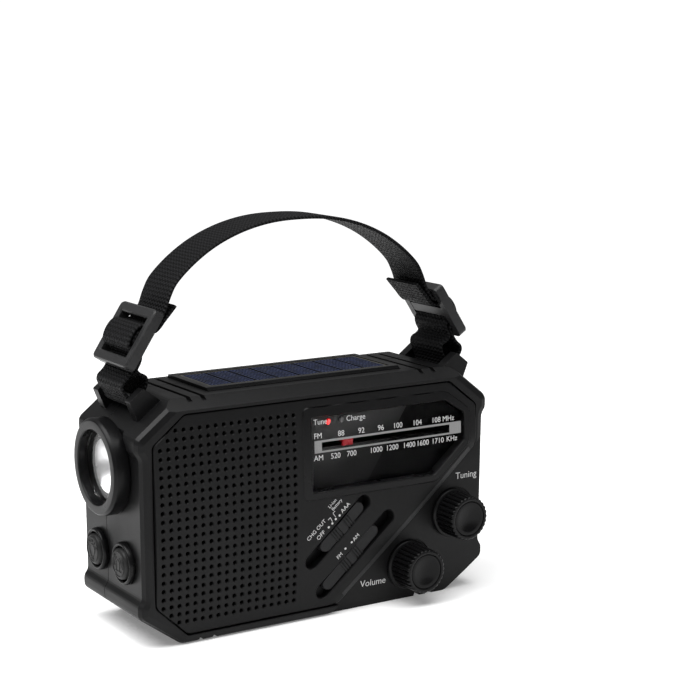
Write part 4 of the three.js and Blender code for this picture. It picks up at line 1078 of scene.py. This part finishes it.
def smooth_line(points, step):
    """Evenly spaced points along a curve through the given ones."""
    fine = []
    for i in range(len(points) - 1):
        p0, p1 = points[max(i - 1, 0)], points[i]
        p2, p3 = points[i + 1], points[min(i + 2, len(points) - 1)]
        for k in range(8):
            t = k / 8
            fine.append(0.5 * ((2 * p1) + (p2 - p0) * t + (2 * p0 - 5 * p1 + 4 * p2 - p3) * t * t
                               + (3 * p1 - p0 - 3 * p2 + p3) * t ** 3))
    fine.append(points[-1])
    lengths = np.cumsum([0] + [(b - a).length for a, b in zip(fine, fine[1:])])
    total = float(lengths[-1])
    wanted = np.linspace(0, total, int(total / step) + 1)
    xs = np.interp(wanted, lengths, [p.x for p in fine])
    zs = np.interp(wanted, lengths, [p.y for p in fine])
    return np.stack([xs, zs], 1), wanted, total


def make_strap():
    """Nylon webbing: cross ribs and warp columns pressed into both faces, with a bound edge."""
    line, along, total = smooth_line(strap_line(), 0.6)
    run = np.gradient(line, axis=0)
    run /= np.linalg.norm(run, axis=1)[:, None]
    normal = np.stack([-run[:, 1], run[:, 0]], 1)
    columns = 44
    across = np.linspace(-1, 1, columns + 1)
    verts, faces = [], []
    rib, warp = 1.45, 1.0  # pitch of the cross ribs and of the warp columns
    half = WEB_THICKNESS / 2
    n = len(line)
    for i in range(n):
        for sign in (1, -1):
            for u in (across if sign > 0 else across[::-1]):
                y = u * WEB_HALF_WIDTH
                edge = max(0.0, 1 - ((abs(u) - 0.93) / 0.07) ** 2) ** 0.5 if abs(u) > 0.93 else 1.0
                groove = 0.5 + 0.5 * math.cos(2 * math.pi * y / warp + math.pi)
                thick = half * (0.35 + 0.65 * edge) - 0.04 * (1 - groove)
                p = line[i] + normal[i] * sign * thick
                verts.append((p[0], y, p[1]))
    m = 2 * (columns + 1)
    for i in range(n - 1):
        for k in range(m):
            j = (k + 1) % m
            faces.append((i * m + k, i * m + j, (i + 1) * m + j, (i + 1) * m + k))
    faces += [tuple(range(m)), tuple((n - 1) * m + k for k in reversed(range(m)))]
    mesh = mesh_of("strap_band", verts, faces)
    counts = mesh.uv_layers.new(name="weave").data
    for loop in mesh.loops:
        at = mesh.vertices[loop.vertex_index].co
        counts[loop.index].uv = (along[loop.vertex_index // m] / rib, (at.y + WEB_HALF_WIDTH) / warp)
    made = piece("strap_band", mesh, "case", WEBBING, ["strap_webbing"], sharp=80)


def make_buckle(side):
    """A slide buckle: a rounded rectangle with two slots, leaning with the strap."""
    node = "buckle_left" if side < 0 else "buckle_right"
    half, half_width, thickness, rim = 11.0, 13.0, 2.6, 1.2
    outer = rounded([(-half + 0.5, -half_width + 0.5), (half - 0.5, -half_width + 0.5),
                     (half - 0.5, half_width - 0.5), (-half + 0.5, half_width - 0.5)], 1.6)
    opening = rounded([(-7.9, -10.4), (7.9, -10.4), (7.9, 10.4), (-7.9, 10.4)], 0.7)
    mesh = plate(node, outer, [opening], lambda x, z: 0.0, thickness + rim, step=4.0, edge=0.5)
    bar = plate(node, rounded([(-1.5, -10.9), (1.5, -10.9), (1.5, 10.9), (-1.5, 10.9)], 0.3), [],
                lambda x, z: rim, thickness + rim - 0.1, step=3.0, edge=0.4)
    mesh = joined(node, [mesh, bar])
    low, high = extent(node)
    middle = Vector(((low.x + high.x) / 2, 0, (low.z + high.z) / 2))
    along = Vector((-side * math.cos(BUCKLE_LEAN), 0, math.sin(BUCKLE_LEAN)))
    out = Vector((side * math.sin(BUCKLE_LEAN), 0, math.cos(BUCKLE_LEAN)))
    turn = Matrix((along, -out, (0, 1, 0))).transposed().to_4x4()
    mesh.transform(Matrix.Translation(middle + out * (thickness + rim) / 2) @ turn)
    piece(node + "_frame", faced_out(mesh), "case", BUCKLE, [node], sharp=30)


# ---- antenna

def make_tube(node, body, profile):
    low, high = extent(node)
    mesh = lathe(node, profile, "x", tuple((low + high) / 2)[1:], 40)
    piece(node + "_turned", mesh, body, CHROME, [node], sharp=40)


def make_antenna():
    """The middle section, open at its upper end, and the top rod with its wider tip."""
    foot, head = (corner.x for corner in extent("antenna_section"))
    outer, bore = 1.8, 1.4
    section = [(foot, 0), (foot, outer), (head, outer), (head, bore), (foot + 2, bore), (foot + 2, 0)]
    make_tube("antenna_section", "antenna_middle", rounded(section, 0.12, 3))
    foot, tip = (corner.x for corner in extent("antenna_rod"))
    shoulder, rod = tip - 1.9, 1.1
    stem = [(foot, 0), (foot, rod), (shoulder, rod), (shoulder, 2.35), (tip - 0.1, 2.3), (tip, 0)]
    make_tube("antenna_rod", "antenna_upper", rounded(stem, 0.3, 4))


# ---- pieces carried over from the solids

CARRIED = {
    SHELL: ["front_shell", "rear_shell"],
    DOOR: ["battery_door"],
    TRIM: ["solar_frame", "crank_arm", "crank_grip"],
    SCALE_PAINTED_REFLECTION: ["dial_scale"],
    POINTER_RED: ["dial_pointer"],
    BLACK_STEEL: [f"case_screw_{i}" for i in (1, 2, 3, 4)],
    STEEL: ["strap_bar_left", "strap_bar_right", "contact_plate_low", "contact_plate_high", "speaker_frame",
            "generator", "volume_potentiometer", "source_switch", "band_switch"],
    CHROME: ["antenna_screw", "antenna_swivel", "antenna_tube"],
    PAPER_CONE: ["speaker_cone"],
    ACETAL: ["crank_gear", "idler_gear", "generator_pinion", "tuning_drum"],
    CORD: ["dial_cord"],
    COMPONENT: ["tuning_capacitor"],
    CELL_WRAP: ["aaa_cell_1", "aaa_cell_2", "aaa_cell_3", "rechargeable_cell"],
    FERRITE: ["ferrite_rod"],
    BOARD: ["main_circuit_board"],
}


def dress_solids():
    """Gives each solid that stays its material and shading that keeps flat faces flat."""
    for material, names in CARRIED.items():
        for name in names:
            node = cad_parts[name]
            node.data.materials.clear()
            node.data.materials.append(material)
            node.data.shade_smooth()
            node.data.set_sharp_from_angle(angle=math.radians(32))
            even = node.modifiers.new("even_shading", "WEIGHTED_NORMAL")
            even.keep_sharp = True


make_world()
make_floor(studio_paper("studio_paper"))
area_light("key_left_back", -98, 56, 1.1, (0.9, 0.6), 12.5)
area_light("top_soft", 10, 80, 1.0, (0.9, 0.9), 12)

dress_solids()
make_front_panel()
make_dial()
make_window_print()
make_face_print()
make_lamp("tune_lamp", LAMP_RED)
make_lamp("charge_lamp", LAMP_CLEAR)
make_knob("tuning_knob", "tuning")
make_knob("volume_knob", "volume")
make_slider("source_slider", "source_switch_slider")
make_slider("band_slider", "band_switch_slider")
make_torch()
make_button("torch_button", "torch_button_ring", "torch_button", torch_icon())
make_button("sos_button", "sos_button_ring", "sos_button", alarm_icon())
make_solar()
make_buckle(-1)
make_buckle(1)
make_strap()
make_antenna()

bpy.context.scene.view_settings.view_transform = "Standard"
